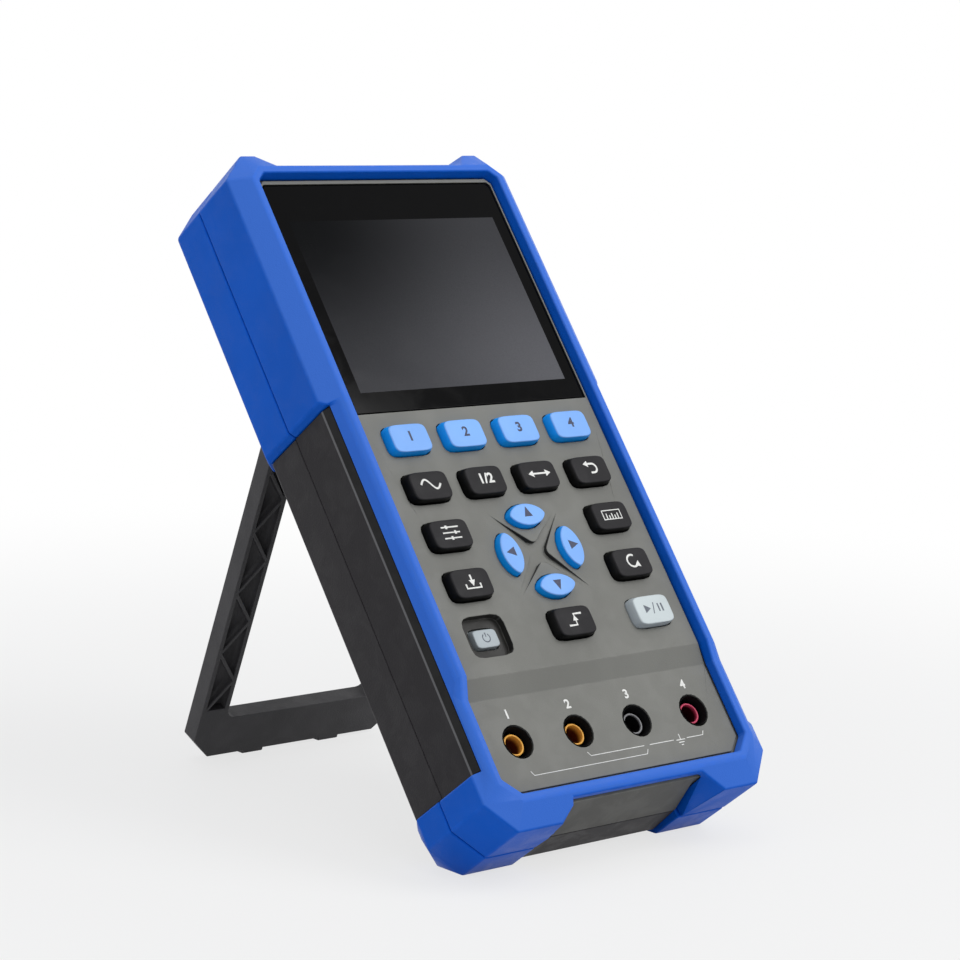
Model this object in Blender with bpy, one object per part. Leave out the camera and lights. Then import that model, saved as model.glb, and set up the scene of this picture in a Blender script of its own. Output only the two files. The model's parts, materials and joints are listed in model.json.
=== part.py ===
"""Handheld oscilloscope leaning back on its kickstand, every piece at its real size.

Sizes are millimetres. Body axes: x to the right, y into the depth with the key panel at 0,
z up along the case. The case leans back, so every piece hangs on one tilted empty.
"""

import math

import bmesh
import bpy
from mathutils import Vector

MM = 0.001

# Stance: the case leans back from upright, the stand swings out from folded.
LEAN = math.radians(38.0)
STAND_OPEN = math.radians(59.5)

# Clearances
GAP = 0.3
KEY_TRAVEL = 1.2

# Screen and its window
SCREEN_W = 70.08
SCREEN_H = 52.56
MASK_SIDE = 3.96
MASK_BELOW = 6.0
MASK_ABOVE = 11.3
WINDOW_T = 1.1
WINDOW_SINK = 0.2
WINDOW_CUT = 0.8
SIGHT_EDGE = 0.7
LCD_SIDE = 3.4
LCD_BELOW = 7.8
LCD_ABOVE = 3.5
LCD_T = 3.0
GASKET_T = 0.8
TRAY_T = 0.9
TRAY_LIP = 1.4

# Front panel, from the bottom end up
PANEL_T = 3.0
PANEL_MARGIN = 1.4
PANEL_GAP = 0.55
JACK_PANEL_LOW = 9.2
JACK_PANEL_JOG = 0.8
JACK_PANEL_SINK = 2.0
JACK_Z = 22.6
STEP_LOW = 34.5
STEP_RUN = 5.5
FIRST_ROW_UP = 10.6
ROW_PITCH = 14.05
KEY_SIDE = 12.95
WINDOW_UP = 9.0
PANEL_ABOVE = 2.0
PANEL_TOP_CUT = 2.0
PANEL_FOOT_CUT = 4.2

# Blue bumper
RIM_WIDTH = 7.6
RIM_TOP = 5.6
CREST_Y = -2.5
CREST_W = 2.4
CREST_ROUND = 0.6
RIM_SIDE_Y = 2.0
RIM_SIDE_SINK = 0.3
RIM_SEAT_Y = 1.5
RIM_SEAT_SINK = 1.2
BUMPER_T = 2.7
EAR_UP = 3.3
EAR_CORNER = 7.8
EAR_CORNER_DROP = 7.6
EAR_FLAT = 4.1
EAR_RAMP = 6.6
FOOT_CUT_X = 7.0
FOOT_CUT_Z = 8.3
STRIP_OUT = 0.6
STRIP_EDGE_Y = 1.0
STRIP_SLANT = 0.65
REST_Y = 28.0
BACK_EDGE_Y = 28.0
BACK_EDGE_TOP_Y = 29.8
BACK_BEVEL = 5.4
LIP_T = 1.7
LIP_W = 4.4
BUMPER_FOOT = 16.5
BUMPER_HEAD_UP = 3.7

# Case shells
PART_Y = 17.5
WALL = 2.0
CASE_OVER = 2.8
CASE_LOW = 5.0
CASE_TOP_CUT = 4.7
CASE_FOOT_CUT = 6.0
CASE_BEVEL = 4.0
CHIN_FRONT_HALF = 21.3
CHIN_HALF = 24.6
CHIN_FLARE = 7.0
CHIN_EDGE_Z = 5.4
CHIN_BACK_Z = 2.0
CHIN_RISE = 4.4
TOP_OVER = 0.3
TOP_FRONT_Y = 2.2
GRIP_OUT = 1.5
GRIP_BEVEL_Y = 3.7
GRIP_EDGE_Y = 29.9
GRIP_INSET = 0.7

# Keys
KEY_W = 13.4
KEY_H = 8.4
KEY_TOP_W = 10.8
KEY_TOP_H = 7.9
KEY_UP = 3.2
KEY_SHOULDER = 1.6
KEY_SQUARE = 5.0
POWER_W = 8.0
POWER_H = 5.5
POWER_SINK = 0.8
POWER_WELL_W = 13.5
POWER_WELL_H = 11.5
POWER_WELL_DEEP = 2.1
ARROW_L = 12.2
ARROW_S = 6.8
ARROW_OUT = 10.3
ARROW_UP = 2.6
ARROW_POINT = 0.3
CROSS_R = 17.0
CROSS_HALF = 1.5
CROSS_END = 0.45
CROSS_ROUND = 2.0
CROSS_DEEP = 1.3
FLANGE_T = 0.9
FLANGE_OVER = 0.8
STEM_W = 3.4
STEM_UP = 1.2
KEY_SIDES = 16

# Boards, from the panel back
MAT_T = 0.8
BOARD_T = 1.6
BOARD_AIR = 2.0
LEDGE_W = 1.8
MAIN_TOP_DROP = 7.0
MAIN_FOOT_AIR = 0.8
TONGUE_HALF = 6.0
CHIP_SIZE = 14.0
CHIP_T = 1.3
SHIELD_EDGE = 9.7
SHIELD_H = 28.0
SHIELD_DEEP = 4.4
SHIELD_T = 0.5
BUZZER_R = 6.0
BUZZER_T = 4.0
BUZZER_EDGE = 5.5
FUSE_R = 3.2
FUSE_L = 25.4
FUSE_EDGE = 5.0

# Meter jacks
JACK_SIDE = 10.31
WELL_R = 3.7
COLLAR_T = 0.55
COLLAR_SINK = 0.15
WELL_DEEP = 14.4
JACK_TUBE_R = 3.0
JACK_TUBE_T = 0.4
JACK_TUBE_SINK = 2.3
CONTACT_R = 2.3
CONTACT_T = 0.3
CONTACT_SINK = 7.0
CONTACT_TAIL = 2.2
BLOCK_WALL = 3.8
BLOCK_FLOOR = 2.3

# Sockets in the top end
BNC_X = 16.0
BNC_R = 4.8
BNC_BORE_R = 3.9
BNC_PIN_R = 0.9
BNC_BODY_R = 6.5
BNC_BODY_H = 10.0
BNC_TIP_UP = 4.2
BNC_BORE_DEEP = 9.0
BNC_WELL_R = 8.0
BNC_WELL_DEEP = 7.8
BNC_LUG_R = 0.9
BNC_LUG_OUT = 1.1
BNC_LUG_DROP = 3.0
USB_W = 8.94
USB_H = 3.2
USB_T = 0.35
USB_L = 13.0
USB_DEEP = 7.0
USB_SINK = 0.3

# Battery
CELL_R = 9.15
CELL_L = 65.0
CELL_NUB_R = 3.0
CELL_NUB_UP = 0.8
BAY_AIR = 1.5
BAY_WALL = 1.4
CONTACT_PLATE_T = 0.4
CONTACT_PLATE_W = 12.0
DOOR_T = 1.5
DOOR_SINK = 0.1
DOOR_LAP = 1.8
DOOR_HEAD = 9.0

# Kickstand
STAND_T = 5.5
STAND_EDGE = 9.6
STAND_WALL = 4.6
PIVOT_Z = 137.0
STAND_REACH_IN = 98.4
STAND_FILLET = 3.0
STAND_CORNER = 6.0
STAND_BASE_UP = 0.9
STAND_FLUSH = 0.15
HUB_FLAT = 0.3
TRUNNION_R = 1.5
TRUNNION_L = 3.0
PAD_X = 13.5
PAD_W = 7.0
RIB_POCKET = 3.0
RIB_EDGE = 1.4
RIB_WEB = 1.0
RIB_BAYS = 9
RIB_FIRST = 8.0
RIB_LAST = 3.0

# Screws
SCREW_R = 1.2
SCREW_HEAD_R = 2.75
SCREW_HEAD_T = 2.6
SCREW_SEAT_Y = 22.0
SCREW_TIP_Y = 9.5
SCREW_HIGH_IN = 9.5
SCREW_LOW_Z = 38.0
SCREW_LOW_OUT = 4.6
PILLAR_R = 2.7
POST_R = 4.6
DRIVE_R = 1.4
DRIVE_DEEP = 1.2
DOOR_SCREW_R = 1.1
DOOR_HEAD_R = 2.1
DOOR_HEAD_T = 0.7

# Worked out across the front
WINDOW_W = SCREEN_W + 2 * MASK_SIDE
WINDOW_H = SCREEN_H + MASK_BELOW + MASK_ABOVE
PANEL_HALF = WINDOW_W / 2 + PANEL_MARGIN
HALF_W = PANEL_HALF + RIM_WIDTH
CASE_HALF = HALF_W - BUMPER_T - GAP
STEP_HIGH = STEP_LOW + STEP_RUN
ROW_Z = [STEP_HIGH + FIRST_ROW_UP + i * ROW_PITCH for i in range(5)]
COLUMN_PITCH = (PANEL_HALF - KEY_SIDE) / 1.5
JACK_PITCH = (PANEL_HALF - JACK_SIDE) / 1.5
COLUMN_X = [(i - 1.5) * COLUMN_PITCH for i in range(4)]
PAD_Z = (ROW_Z[1] + ROW_Z[2]) / 2
WINDOW_LOW = ROW_Z[4] + WINDOW_UP
WINDOW_TOP = WINDOW_LOW + WINDOW_H
SCREEN_Z = WINDOW_LOW + MASK_BELOW + SCREEN_H / 2
PANEL_TOP = WINDOW_TOP + PANEL_ABOVE
RIM_Z = PANEL_TOP + RIM_TOP
EAR_Z = RIM_Z + EAR_UP
TOP_Z = RIM_Z + TOP_OVER
CASE_TOP = PANEL_TOP + CASE_OVER
EAR_OUT = HALF_W - EAR_CORNER
EAR_IN = EAR_OUT - EAR_FLAT
EAR_ROOT = EAR_IN - EAR_RAMP
TOP_HALF = EAR_ROOT - 1.0
BUMPER_HEAD = WINDOW_LOW + BUMPER_HEAD_UP
STRIP_HALF = CASE_HALF + STRIP_OUT
GRIP_HALF = CASE_HALF + GRIP_OUT

# Worked out through the depth
FRONT_END = PART_Y - GAP / 2
REAR_END = PART_Y + GAP / 2
SEAT_Y = WINDOW_SINK + WINDOW_T + GAP
FLANGE_Y = PANEL_T + GAP
STEM_Y = FLANGE_Y + FLANGE_T + STEM_UP
MAT_Y = FLANGE_Y + FLANGE_T + KEY_TRAVEL + 0.4
KEY_BOARD_Y = MAT_Y + MAT_T + GAP
LCD_Y = PANEL_T + GAP + GASKET_T + GAP
TRAY_BACK = LCD_Y + LCD_T + GAP + TRAY_T
MAIN_Y = TRAY_BACK + BOARD_AIR
MAIN_BACK = MAIN_Y + BOARD_T
BAY_Y = MAIN_BACK + BAY_AIR
CELL_Y = BAY_Y + BAY_WALL + GAP + CELL_R
DOOR_Y = CELL_Y + CELL_R + GAP
BACK = DOOR_Y + DOOR_T + DOOR_SINK
REST_RISE = (BACK - REST_Y) * math.tan(LEAN)
JACK_BACK = JACK_PANEL_SINK + PANEL_T

# Worked out round the stand
PIVOT_Y = BACK - STAND_FLUSH - STAND_T / 2
POCKET_Y = PIVOT_Y - STAND_T / 2 - GAP
REAR_DEEP = POCKET_Y - WALL - 0.2
BAY_HALF = 2 * CELL_R + 0.9
DOOR_HALF = BAY_HALF + DOOR_LAP
STAND_IN = DOOR_HALF + 2 * GAP + STAND_WALL
STAND_OUT = CASE_HALF - STAND_EDGE
SWING = STAND_OPEN - LEAN
FOOT_S = (PIVOT_Z * math.cos(LEAN) - (PIVOT_Y - REST_Y) * math.sin(LEAN)) / math.cos(SWING)
FOOT_SLOPE = math.tan(SWING)
STAND_END = FOOT_S - FOOT_SLOPE * STAND_T / 2 - STAND_BASE_UP
RECESS_LOW = PIVOT_Z - FOOT_S - FOOT_SLOPE * STAND_T / 2 - 2 * GAP
RECESS_TOP = PIVOT_Z - STAND_REACH_IN + GAP
DOOR_LOW = RECESS_TOP + WALL + 1.2
BAY_LOW = DOOR_LOW + DOOR_LAP + 0.9
BAY_TOP = BAY_LOW + CELL_L + CELL_NUB_UP + 2 * (CONTACT_PLATE_T + 2 * GAP)
DOOR_TOP = BAY_TOP + DOOR_HEAD
DOOR_SCREW_Z = BAY_TOP + DOOR_HEAD / 2
LCD_LOW = SCREEN_Z - SCREEN_H / 2 - LCD_BELOW
LCD_TOP = SCREEN_Z + SCREEN_H / 2 + LCD_ABOVE
LCD_HALF = SCREEN_W / 2 + LCD_SIDE
TRAY_OVER = GAP + TRAY_T
BOARD_HALF = CASE_HALF - WALL - GAP
BOARD_LOW = ROW_Z[0] - KEY_H / 2 - 0.5
BOARD_TOP = LCD_LOW - TRAY_OVER - 1.0
MAIN_TOP = LCD_TOP - MAIN_TOP_DROP
BNC_FLOOR = TOP_Z - BNC_WELL_DEEP
CUP_LOW = BNC_FLOOR - 2.5
SCREW_HIGH_Z = LCD_TOP + TRAY_OVER + PILLAR_R + GAP
SCREW_HIGH_X = CASE_HALF - SCREW_HIGH_IN
SCREW_LOW_X = STAND_OUT + SCREW_LOW_OUT
MAIN_FOOT_HALF = SCREW_LOW_X - PILLAR_R - MAIN_FOOT_AIR
FUSE_INNER = MAIN_FOOT_HALF - FUSE_EDGE - FUSE_L
SHIELD_HALF = BOARD_HALF - SHIELD_EDGE


def clear_scene():
    for obj in list(bpy.data.objects):
        bpy.data.objects.remove(obj, do_unlink=True)


def finish(name, colour, roughness, metallic=0.0):
    material = bpy.data.materials.new(name)
    material.use_nodes = True
    shader = material.node_tree.nodes["Principled BSDF"]
    shader.inputs["Base Color"].default_value = (*colour, 1.0)
    shader.inputs["Roughness"].default_value = roughness
    shader.inputs["Metallic"].default_value = metallic
    material.diffuse_color = (*colour, 1.0)
    return material


def mirrored(half):
    """Closes a right-hand outline that starts and ends on the centre line."""
    return half + [(-x, z) for x, z in reversed(half[1:-1])]


def offset(outline, distance):
    """Moves each side of a clockwise outline outwards, with mitred corners."""
    count = len(outline)
    sides = []
    for i in range(count):
        run = Vector(outline[(i + 1) % count]) - Vector(outline[i])
        sides.append(Vector((-run.y, run.x)).normalized())
    moved = []
    for i in range(count):
        before, after = sides[i - 1], sides[i]
        mitre = (before + after) * (distance / (1 + before.dot(after)))
        moved.append(tuple(Vector(outline[i]) + mitre))
    return moved


def box_outline(x0, x1, z0, z1):
    return [(x0, z1), (x1, z1), (x1, z0), (x0, z0)]


def ring_outline(x, z, radius, sides=20, start=0.0, sweep=2 * math.pi):
    """Points of a circle, or of an arc when sweep is less than a full turn."""
    last = sides if sweep >= 2 * math.pi else sides - 1
    turns = [start + sweep * i / last for i in range(sides)]
    return [(x + radius * math.cos(t), z + radius * math.sin(t)) for t in turns]


def soft_box(x, z, width, height, square=KEY_SQUARE, sides=KEY_SIDES):
    """A rounded rectangle with slightly barrelled sides."""
    points = []
    for i in range(sides):
        turn = 2 * math.pi * (i + 0.5) / sides
        c, s = math.cos(turn), math.sin(turn)
        points.append((
            x + width / 2 * math.copysign(abs(c) ** (2 / square), c),
            z + height / 2 * math.copysign(abs(s) ** (2 / square), s),
        ))
    return points


def lens(x, z, length, breadth, upright):
    """A leaf outline with soft points, lying along x, or along z when upright."""
    points = []
    for i in range(KEY_SIDES):
        turn = 2 * math.pi * i / KEY_SIDES
        along = length / 2 * math.cos(turn)
        s = math.sin(turn)
        across = breadth / 2 * s * abs(s) ** ARROW_POINT
        points.append((x + across, z + along) if upright else (x + along, z + across))
    return points


def place(points, axis, level):
    """Lifts flat points to the given level on the x, y or z axis."""
    if axis == "x":
        return [(level, a, b) for a, b in points]
    if axis == "y":
        return [(a, level, b) for a, b in points]
    return [(a, b, level) for a, b in points]


def start_loop(bm, points):
    loop = [bm.verts.new(Vector(p) * MM) for p in points]
    for i, vert in enumerate(loop):
        bm.edges.new((loop[i - 1], vert))
    return loop


def extend_loop(bm, loop, points):
    """Extrudes a closed loop of vertices and moves each copy to its own point."""
    edges = [bm.edges.get((loop[i - 1], vert)) for i, vert in enumerate(loop)]
    made = bmesh.ops.extrude_edge_only(bm, edges=edges)["geom"]
    copies = {item for item in made if isinstance(item, bmesh.types.BMVert)}
    ends = [next(e.other_vert(v) for e in v.link_edges if e.other_vert(v) in copies) for v in loop]
    for vert, point in zip(ends, points):
        vert.co = Vector(point) * MM
    return ends


def stack(bm, loops):
    """A closed solid through the loops in turn, with both ends filled."""
    first = loop = start_loop(bm, loops[0])
    for points in loops[1:]:
        loop = extend_loop(bm, loop, points)
    bm.faces.new(first)
    bm.faces.new(loop)


def collar(bm, loops):
    """A closed ring through the loops in turn and back to the first one."""
    loop = start_loop(bm, loops[0])
    for points in loops[1:] + loops[:1]:
        loop = extend_loop(bm, loop, points)
    bmesh.ops.remove_doubles(bm, verts=bm.verts, dist=1e-7)


def prism(outline, axis, low, high):
    """A straight solid, as a function that adds it to a mesh."""
    return lambda bm: stack(bm, [place(outline, axis, low), place(outline, axis, high)])


def block(x0, x1, y0, y1, z0, z1):
    return prism(box_outline(x0, x1, z0, z1), "y", y0, y1)


def tube(axis, a, b, radius, wall, low, high, sides=20):
    outer = ring_outline(a, b, radius, sides)
    inner = ring_outline(a, b, radius - wall, sides)
    loops = [(outer, low), (outer, high), (inner, high), (inner, low)]
    return lambda bm: collar(bm, [place(points, axis, level) for points, level in loops])


def rod(axis, a, b, radius, low, high, sides=20):
    return prism(ring_outline(a, b, radius, sides), axis, low, high)


def both_sides(shape_of):
    """The same shape on the right and on the left; shape_of takes +1 or -1."""
    return [shape_of(1), shape_of(-1)]


def mesh_object(name, shapes):
    bm = bmesh.new()
    for shape in shapes:
        part = bmesh.new()
        shape(part)
        bmesh.ops.recalc_face_normals(part, faces=part.faces)
        mesh = bpy.data.meshes.new(name)
        part.to_mesh(mesh)
        part.free()
        bm.from_mesh(mesh)
        bpy.data.meshes.remove(mesh)
    mesh = bpy.data.meshes.new(name)
    bm.to_mesh(mesh)
    bm.free()
    obj = bpy.data.objects.new(name, mesh)
    bpy.context.scene.collection.objects.link(obj)
    obj.parent = STANCE
    return obj


def work(obj, operation, shapes):
    """Adds the shapes to the object, or cuts them away, as one live Boolean."""
    index = len(obj.modifiers)
    helper = mesh_object(f"{obj.name}_{operation.lower()}_{index}", shapes)
    helper.location = obj.location
    helper.rotation_euler = obj.rotation_euler
    helper.hide_render = True
    helper.display_type = "WIRE"
    modifier = obj.modifiers.new(f"{operation.lower()}_{index}", "BOOLEAN")
    modifier.operation = operation
    modifier.solver = "EXACT"
    modifier.object = helper


def piece(name, material, shape, *steps):
    """One solid: a first shape, then joins and cuts in order."""
    obj = mesh_object(name, [shape])
    obj.data.materials.append(material)
    for operation, shapes in steps:
        work(obj, operation, shapes)
    return obj


def join(*shapes):
    return ("UNION", list(shapes))


def cut(*shapes):
    return ("DIFFERENCE", list(shapes))


def smooth(obj, angle=35.0):
    obj.data.shade_smooth()
    obj.data.set_sharp_from_angle(angle=math.radians(angle))


def outer_half():
    return [
        (0, RIM_Z), (EAR_ROOT, RIM_Z), (EAR_IN, EAR_Z), (EAR_OUT, EAR_Z),
        (HALF_W, EAR_Z - EAR_CORNER_DROP), (HALF_W, BUMPER_HEAD), (HALF_W, STEP_HIGH),
        (HALF_W, STEP_LOW), (HALF_W, FOOT_CUT_Z), (HALF_W - FOOT_CUT_X, 0),
        (CHIN_HALF, 0), (0, 0),
    ]


def inner_half():
    """Edge of the rim round the panel; it jogs out at the jack panel."""
    jogged = PANEL_HALF + JACK_PANEL_JOG
    corner = PANEL_HALF - PANEL_TOP_CUT
    return [
        (0, PANEL_TOP), (EAR_ROOT, PANEL_TOP), ((EAR_ROOT + corner) / 2, PANEL_TOP),
        (corner, PANEL_TOP), (PANEL_HALF, PANEL_TOP - PANEL_TOP_CUT),
        (PANEL_HALF, BUMPER_HEAD), (PANEL_HALF, STEP_HIGH), (jogged, STEP_LOW),
        (jogged, JACK_PANEL_LOW + PANEL_FOOT_CUT), (jogged - PANEL_FOOT_CUT, JACK_PANEL_LOW),
        (CHIN_HALF, JACK_PANEL_LOW), (0, JACK_PANEL_LOW),
    ]


def case_half():
    corner = CASE_HALF - CASE_TOP_CUT
    return [
        (0, CASE_TOP), (EAR_ROOT, CASE_TOP), ((EAR_ROOT + corner) / 2, CASE_TOP),
        (corner, CASE_TOP), (CASE_HALF, CASE_TOP - CASE_TOP_CUT),
        (CASE_HALF, BUMPER_HEAD), (CASE_HALF, STEP_HIGH), (CASE_HALF, STEP_LOW),
        (CASE_HALF, CASE_LOW + CASE_FOOT_CUT), (CASE_HALF - CASE_FOOT_CUT, CASE_LOW),
        (CHIN_HALF, CASE_LOW), (0, CASE_LOW),
    ]


def back_half():
    """Outer edge of the bumper on the back, inside its bevel and its rest facet."""
    return [
        (0, RIM_Z - BACK_BEVEL), (EAR_ROOT, RIM_Z - BACK_BEVEL), (EAR_IN, EAR_Z - BACK_BEVEL),
        (EAR_OUT - BACK_BEVEL / 2, EAR_Z - BACK_BEVEL),
        (HALF_W - BACK_BEVEL, EAR_Z - EAR_CORNER_DROP - BACK_BEVEL / 2),
        (HALF_W - BACK_BEVEL, BUMPER_HEAD), (HALF_W - BACK_BEVEL, STEP_HIGH),
        (HALF_W - BACK_BEVEL, STEP_LOW), (HALF_W - BACK_BEVEL, FOOT_CUT_Z + BACK_BEVEL),
        (HALF_W - FOOT_CUT_X, REST_RISE), (CHIN_HALF, REST_RISE), (0, REST_RISE),
    ]


OUTER = mirrored(outer_half())
INNER = mirrored(inner_half())
CASE = mirrored(case_half())
REAR = mirrored(back_half())


def sunk(outline, level, drop=JACK_PANEL_SINK):
    """Places an outline in depth, lower beside the jack panel, as the rim follows the step."""
    return [
        (x, level + (drop if base[1] <= STEP_LOW else 0), z)
        for (x, z), base in zip(outline, OUTER)
    ]


def grip_flare(side):
    """Slope at the lower end of the head of the bumper, down to the face of the grip."""
    far = HALF_W + 1
    corners = [(GRIP_HALF, BUMPER_HEAD - 1), (far, BUMPER_HEAD - 1), (far, BUMPER_HEAD + far - GRIP_HALF)]
    corners.append((GRIP_HALF, BUMPER_HEAD))
    return prism([(side * x, z) for x, z in corners], "y", CREST_Y - 2, BACK + 2)


def front_bumper(blue):
    seat = RIM_SEAT_Y - GAP
    loops = [
        place(OUTER, "y", FRONT_END),
        sunk(OUTER, RIM_SIDE_Y, RIM_SIDE_SINK),
        sunk(offset(INNER, CREST_W), CREST_Y),
        sunk(offset(INNER, CREST_ROUND), CREST_Y),
        sunk(INNER, seat, RIM_SEAT_SINK),
        sunk(offset(CASE, GAP), seat, RIM_SEAT_SINK),
        place(offset(CASE, GAP), "y", FRONT_END),
    ]

    def grip_cut(side):
        """Room for a grip: the rim ends in a steep facet above it."""
        front, back = CREST_Y - 2, PART_Y + 1
        wall, far = CASE_HALF + GAP / 2, HALF_W + 4
        corners = [
            (STRIP_HALF + (front - STRIP_EDGE_Y) * STRIP_SLANT, front), (STRIP_HALF, STRIP_EDGE_Y),
            (wall, STRIP_EDGE_Y), (wall, back), (far, back), (far, front),
        ]
        return prism([(side * x, y) for x, y in corners], "z", BUMPER_FOOT, BUMPER_HEAD)

    def chin_end(half, flare):
        """The gap in the rim at the bottom end; it widens downwards."""
        low = flare * (CHIN_EDGE_Z + 2) / CHIN_EDGE_Z
        return [(-half, CHIN_EDGE_Z), (half, CHIN_EDGE_Z), (half + low, -2), (-half - low, -2)]

    chin = [
        place(chin_end(CHIN_FRONT_HALF, CHIN_FLARE), "y", CREST_Y - 2),
        place(chin_end(CHIN_HALF, GAP), "y", PART_Y + 1),
    ]
    head = block(-TOP_HALF, TOP_HALF, TOP_FRONT_Y, PART_Y + 1, CASE_TOP - 1, EAR_Z)
    return piece(
        "front_bumper", blue, lambda bm: collar(bm, loops),
        cut(*both_sides(grip_cut), lambda bm: stack(bm, chin), head), cut(*both_sides(grip_flare)),
    )


def rear_bumper(name, blue, low, high, edge_y):
    """One of the two rear bumpers: the part of a full ring between two heights."""
    lip = offset(CASE, -LIP_W)
    sides = [(x, REST_Y if z <= 0 else edge_y, z) for x, z in OUTER]
    slope_y = BACK_EDGE_Y - 0.4
    loops = [
        place(OUTER, "y", REAR_END),
        sides,
        place(REAR, "y", BACK),
        place(lip, "y", BACK),
        place(lip, "y", BACK - LIP_T),
        place(offset(CASE, GAP - CASE_BEVEL), "y", BACK - LIP_T),
        place(offset(CASE, GAP), "y", slope_y),
        place(offset(CASE, GAP), "y", REAR_END),
    ]
    wide = HALF_W + 4
    band_y = BACK - LIP_T - GAP
    chin = block(-CHIN_HALF, CHIN_HALF, REAR_END - 2, band_y, -2, CASE_LOW + LIP_W + 1)
    head = block(-TOP_HALF, TOP_HALF, REAR_END - 2, band_y, CASE_TOP - LIP_W - 1, EAR_Z + 2)
    rest = [block(-wide, wide, REAR_END - 4, BACK + 4, z0, z1) for z0, z1 in ((-4, low), (high, EAR_Z + 4))
            if z1 - z0 > 4.5]
    return piece(
        name, blue, lambda bm: collar(bm, loops), cut(chin, head), cut(*rest), cut(*both_sides(grip_flare)),
    )


def key_places():
    """Name, place, key sort and colour for every key."""
    left, inner_left, inner_right, right = COLUMN_X
    keys = [(f"key_soft_{i + 1}", x, ROW_Z[4], "plain", "light_blue") for i, x in enumerate(COLUMN_X)]
    second = ("key_mode", "key_channel", "key_horizontal", "key_back")
    keys += [(name, x, ROW_Z[3], "plain", "black") for name, x in zip(second, COLUMN_X)]
    keys += [
        ("key_system", left, ROW_Z[2], "plain", "black"),
        ("key_measure", right, ROW_Z[2], "plain", "black"),
        ("key_save", left, ROW_Z[1], "plain", "black"),
        ("key_auto", right, ROW_Z[1], "plain", "black"),
        ("key_trigger", 0.0, ROW_Z[0], "plain", "black"),
        ("key_run", right, ROW_Z[0], "plain", "pale"),
        ("key_power", left, ROW_Z[0], "power", "pale"),
        ("key_up", 0.0, PAD_Z + ARROW_OUT, "across", "light_blue"),
        ("key_down", 0.0, PAD_Z - ARROW_OUT, "across", "light_blue"),
        ("key_left", -ARROW_OUT, PAD_Z, "upright", "light_blue"),
        ("key_right", ARROW_OUT, PAD_Z, "upright", "light_blue"),
    ]
    return keys


def key_outline(x, z, sort, grow=0.0):
    """Outline of a key at the panel, grown all round by a margin."""
    if sort == "plain":
        return soft_box(x, z, KEY_W + 2 * grow, KEY_H + 2 * grow)
    if sort == "power":
        return soft_box(x, z, POWER_W + 2 * grow, POWER_H + 2 * grow)
    return lens(x, z, ARROW_L + 2 * grow, ARROW_S + 2 * grow, sort == "upright")


def key(name, x, z, sort, material):
    """A cap with a flange held behind the panel and a stem over its switch."""
    top_y = {"plain": -KEY_UP, "power": POWER_SINK}.get(sort, -ARROW_UP)
    inset = (KEY_TOP_H - KEY_H) / 2
    top = soft_box(0, 0, KEY_TOP_W, KEY_TOP_H) if sort == "plain" else key_outline(0, 0, sort, inset)
    cap = key_outline(0, 0, sort)
    flange = key_outline(0, 0, sort, GAP + FLANGE_OVER)
    stem = lens(0, 0, STEM_W, STEM_W, sort == "upright")
    if sort in ("plain", "power"):
        stem = soft_box(0, 0, STEM_W, STEM_W)
    flange_back = FLANGE_Y + FLANGE_T
    levels = [
        (stem, STEM_Y), (stem, flange_back), (flange, flange_back), (flange, FLANGE_Y),
        (cap, FLANGE_Y), (cap, top_y + KEY_SHOULDER), (top, top_y),
    ]
    obj = mesh_object(name, [lambda bm: stack(bm, [place(p, "y", y) for p, y in levels])])
    obj.data.materials.append(material)
    obj.location = Vector((x, 0, z)) * MM
    smooth(obj)
    return obj


def window_outline():
    half = [
        (0, WINDOW_TOP), (WINDOW_W / 2 - WINDOW_CUT, WINDOW_TOP),
        (WINDOW_W / 2, WINDOW_TOP - WINDOW_CUT), (WINDOW_W / 2, WINDOW_LOW), (0, WINDOW_LOW),
    ]
    return mirrored(half)


def sight_outline():
    """The hole through which the screen shows."""
    half, tall = SCREEN_W / 2 + SIGHT_EDGE, SCREEN_H / 2 + SIGHT_EDGE
    return box_outline(-half, half, SCREEN_Z - tall, SCREEN_Z + tall)


def lcd_outline():
    return box_outline(-LCD_HALF, LCD_HALF, LCD_LOW, LCD_TOP)


def cross_cut(bm):
    """Cutter for the cross between the arrow keys: a flat hub and four arms that run out."""
    root = (CROSS_HALF + CROSS_ROUND) * math.sqrt(2)
    far, half = CROSS_R / math.sqrt(2), CROSS_END / math.sqrt(2)
    tip = ring_outline(root, 0, CROSS_ROUND, 5, math.pi * 5 / 4, -math.pi / 2)
    arm = [(far + half, far - half), (far - half, far + half)]
    front, hub, floors = [], [], []
    for i in range(4):
        c, s = math.cos(i * math.pi / 2), math.sin(i * math.pi / 2)
        for a, b in tip + arm:
            x, z = c * a - s * b, PAD_Z + s * a + c * b
            depth = CROSS_DEEP if (a, b) in tip else -GAP / 4
            front.append(bm.verts.new(Vector((x, -CROSS_DEEP, z)) * MM))
            floors.append(bm.verts.new(Vector((x, depth, z)) * MM))
    count, step = len(front), len(tip + arm)
    for i in range(count):
        j = (i + 1) % count
        bm.faces.new((front[i], front[j], floors[j], floors[i]))
    for i in range(0, count, step):
        hub += floors[i:i + len(tip)]
        last = i + len(tip) - 1
        bm.faces.new([floors[(last + k) % count] for k in range(4)])
    bm.faces.new(hub)
    bm.faces.new(front)
    bmesh.ops.recalc_face_normals(bm, faces=bm.faces)


def jack_places():
    return [(i - 1.5) * JACK_PITCH for i in range(4)]


def screw_places():
    high = [(side * SCREW_HIGH_X, SCREW_HIGH_Z) for side in (-1, 1)]
    return high + [(side * SCREW_LOW_X, SCREW_LOW_Z) for side in (-1, 1)]


def half_cup(x, radius, front):
    """Half of a round cup in the top end, on one side of the parting plane."""
    start, y = (math.pi, FRONT_END - 0.15) if front else (0.0, REAR_END + 0.15)
    return ring_outline(x, y, radius, 12, start, math.pi)


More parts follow.
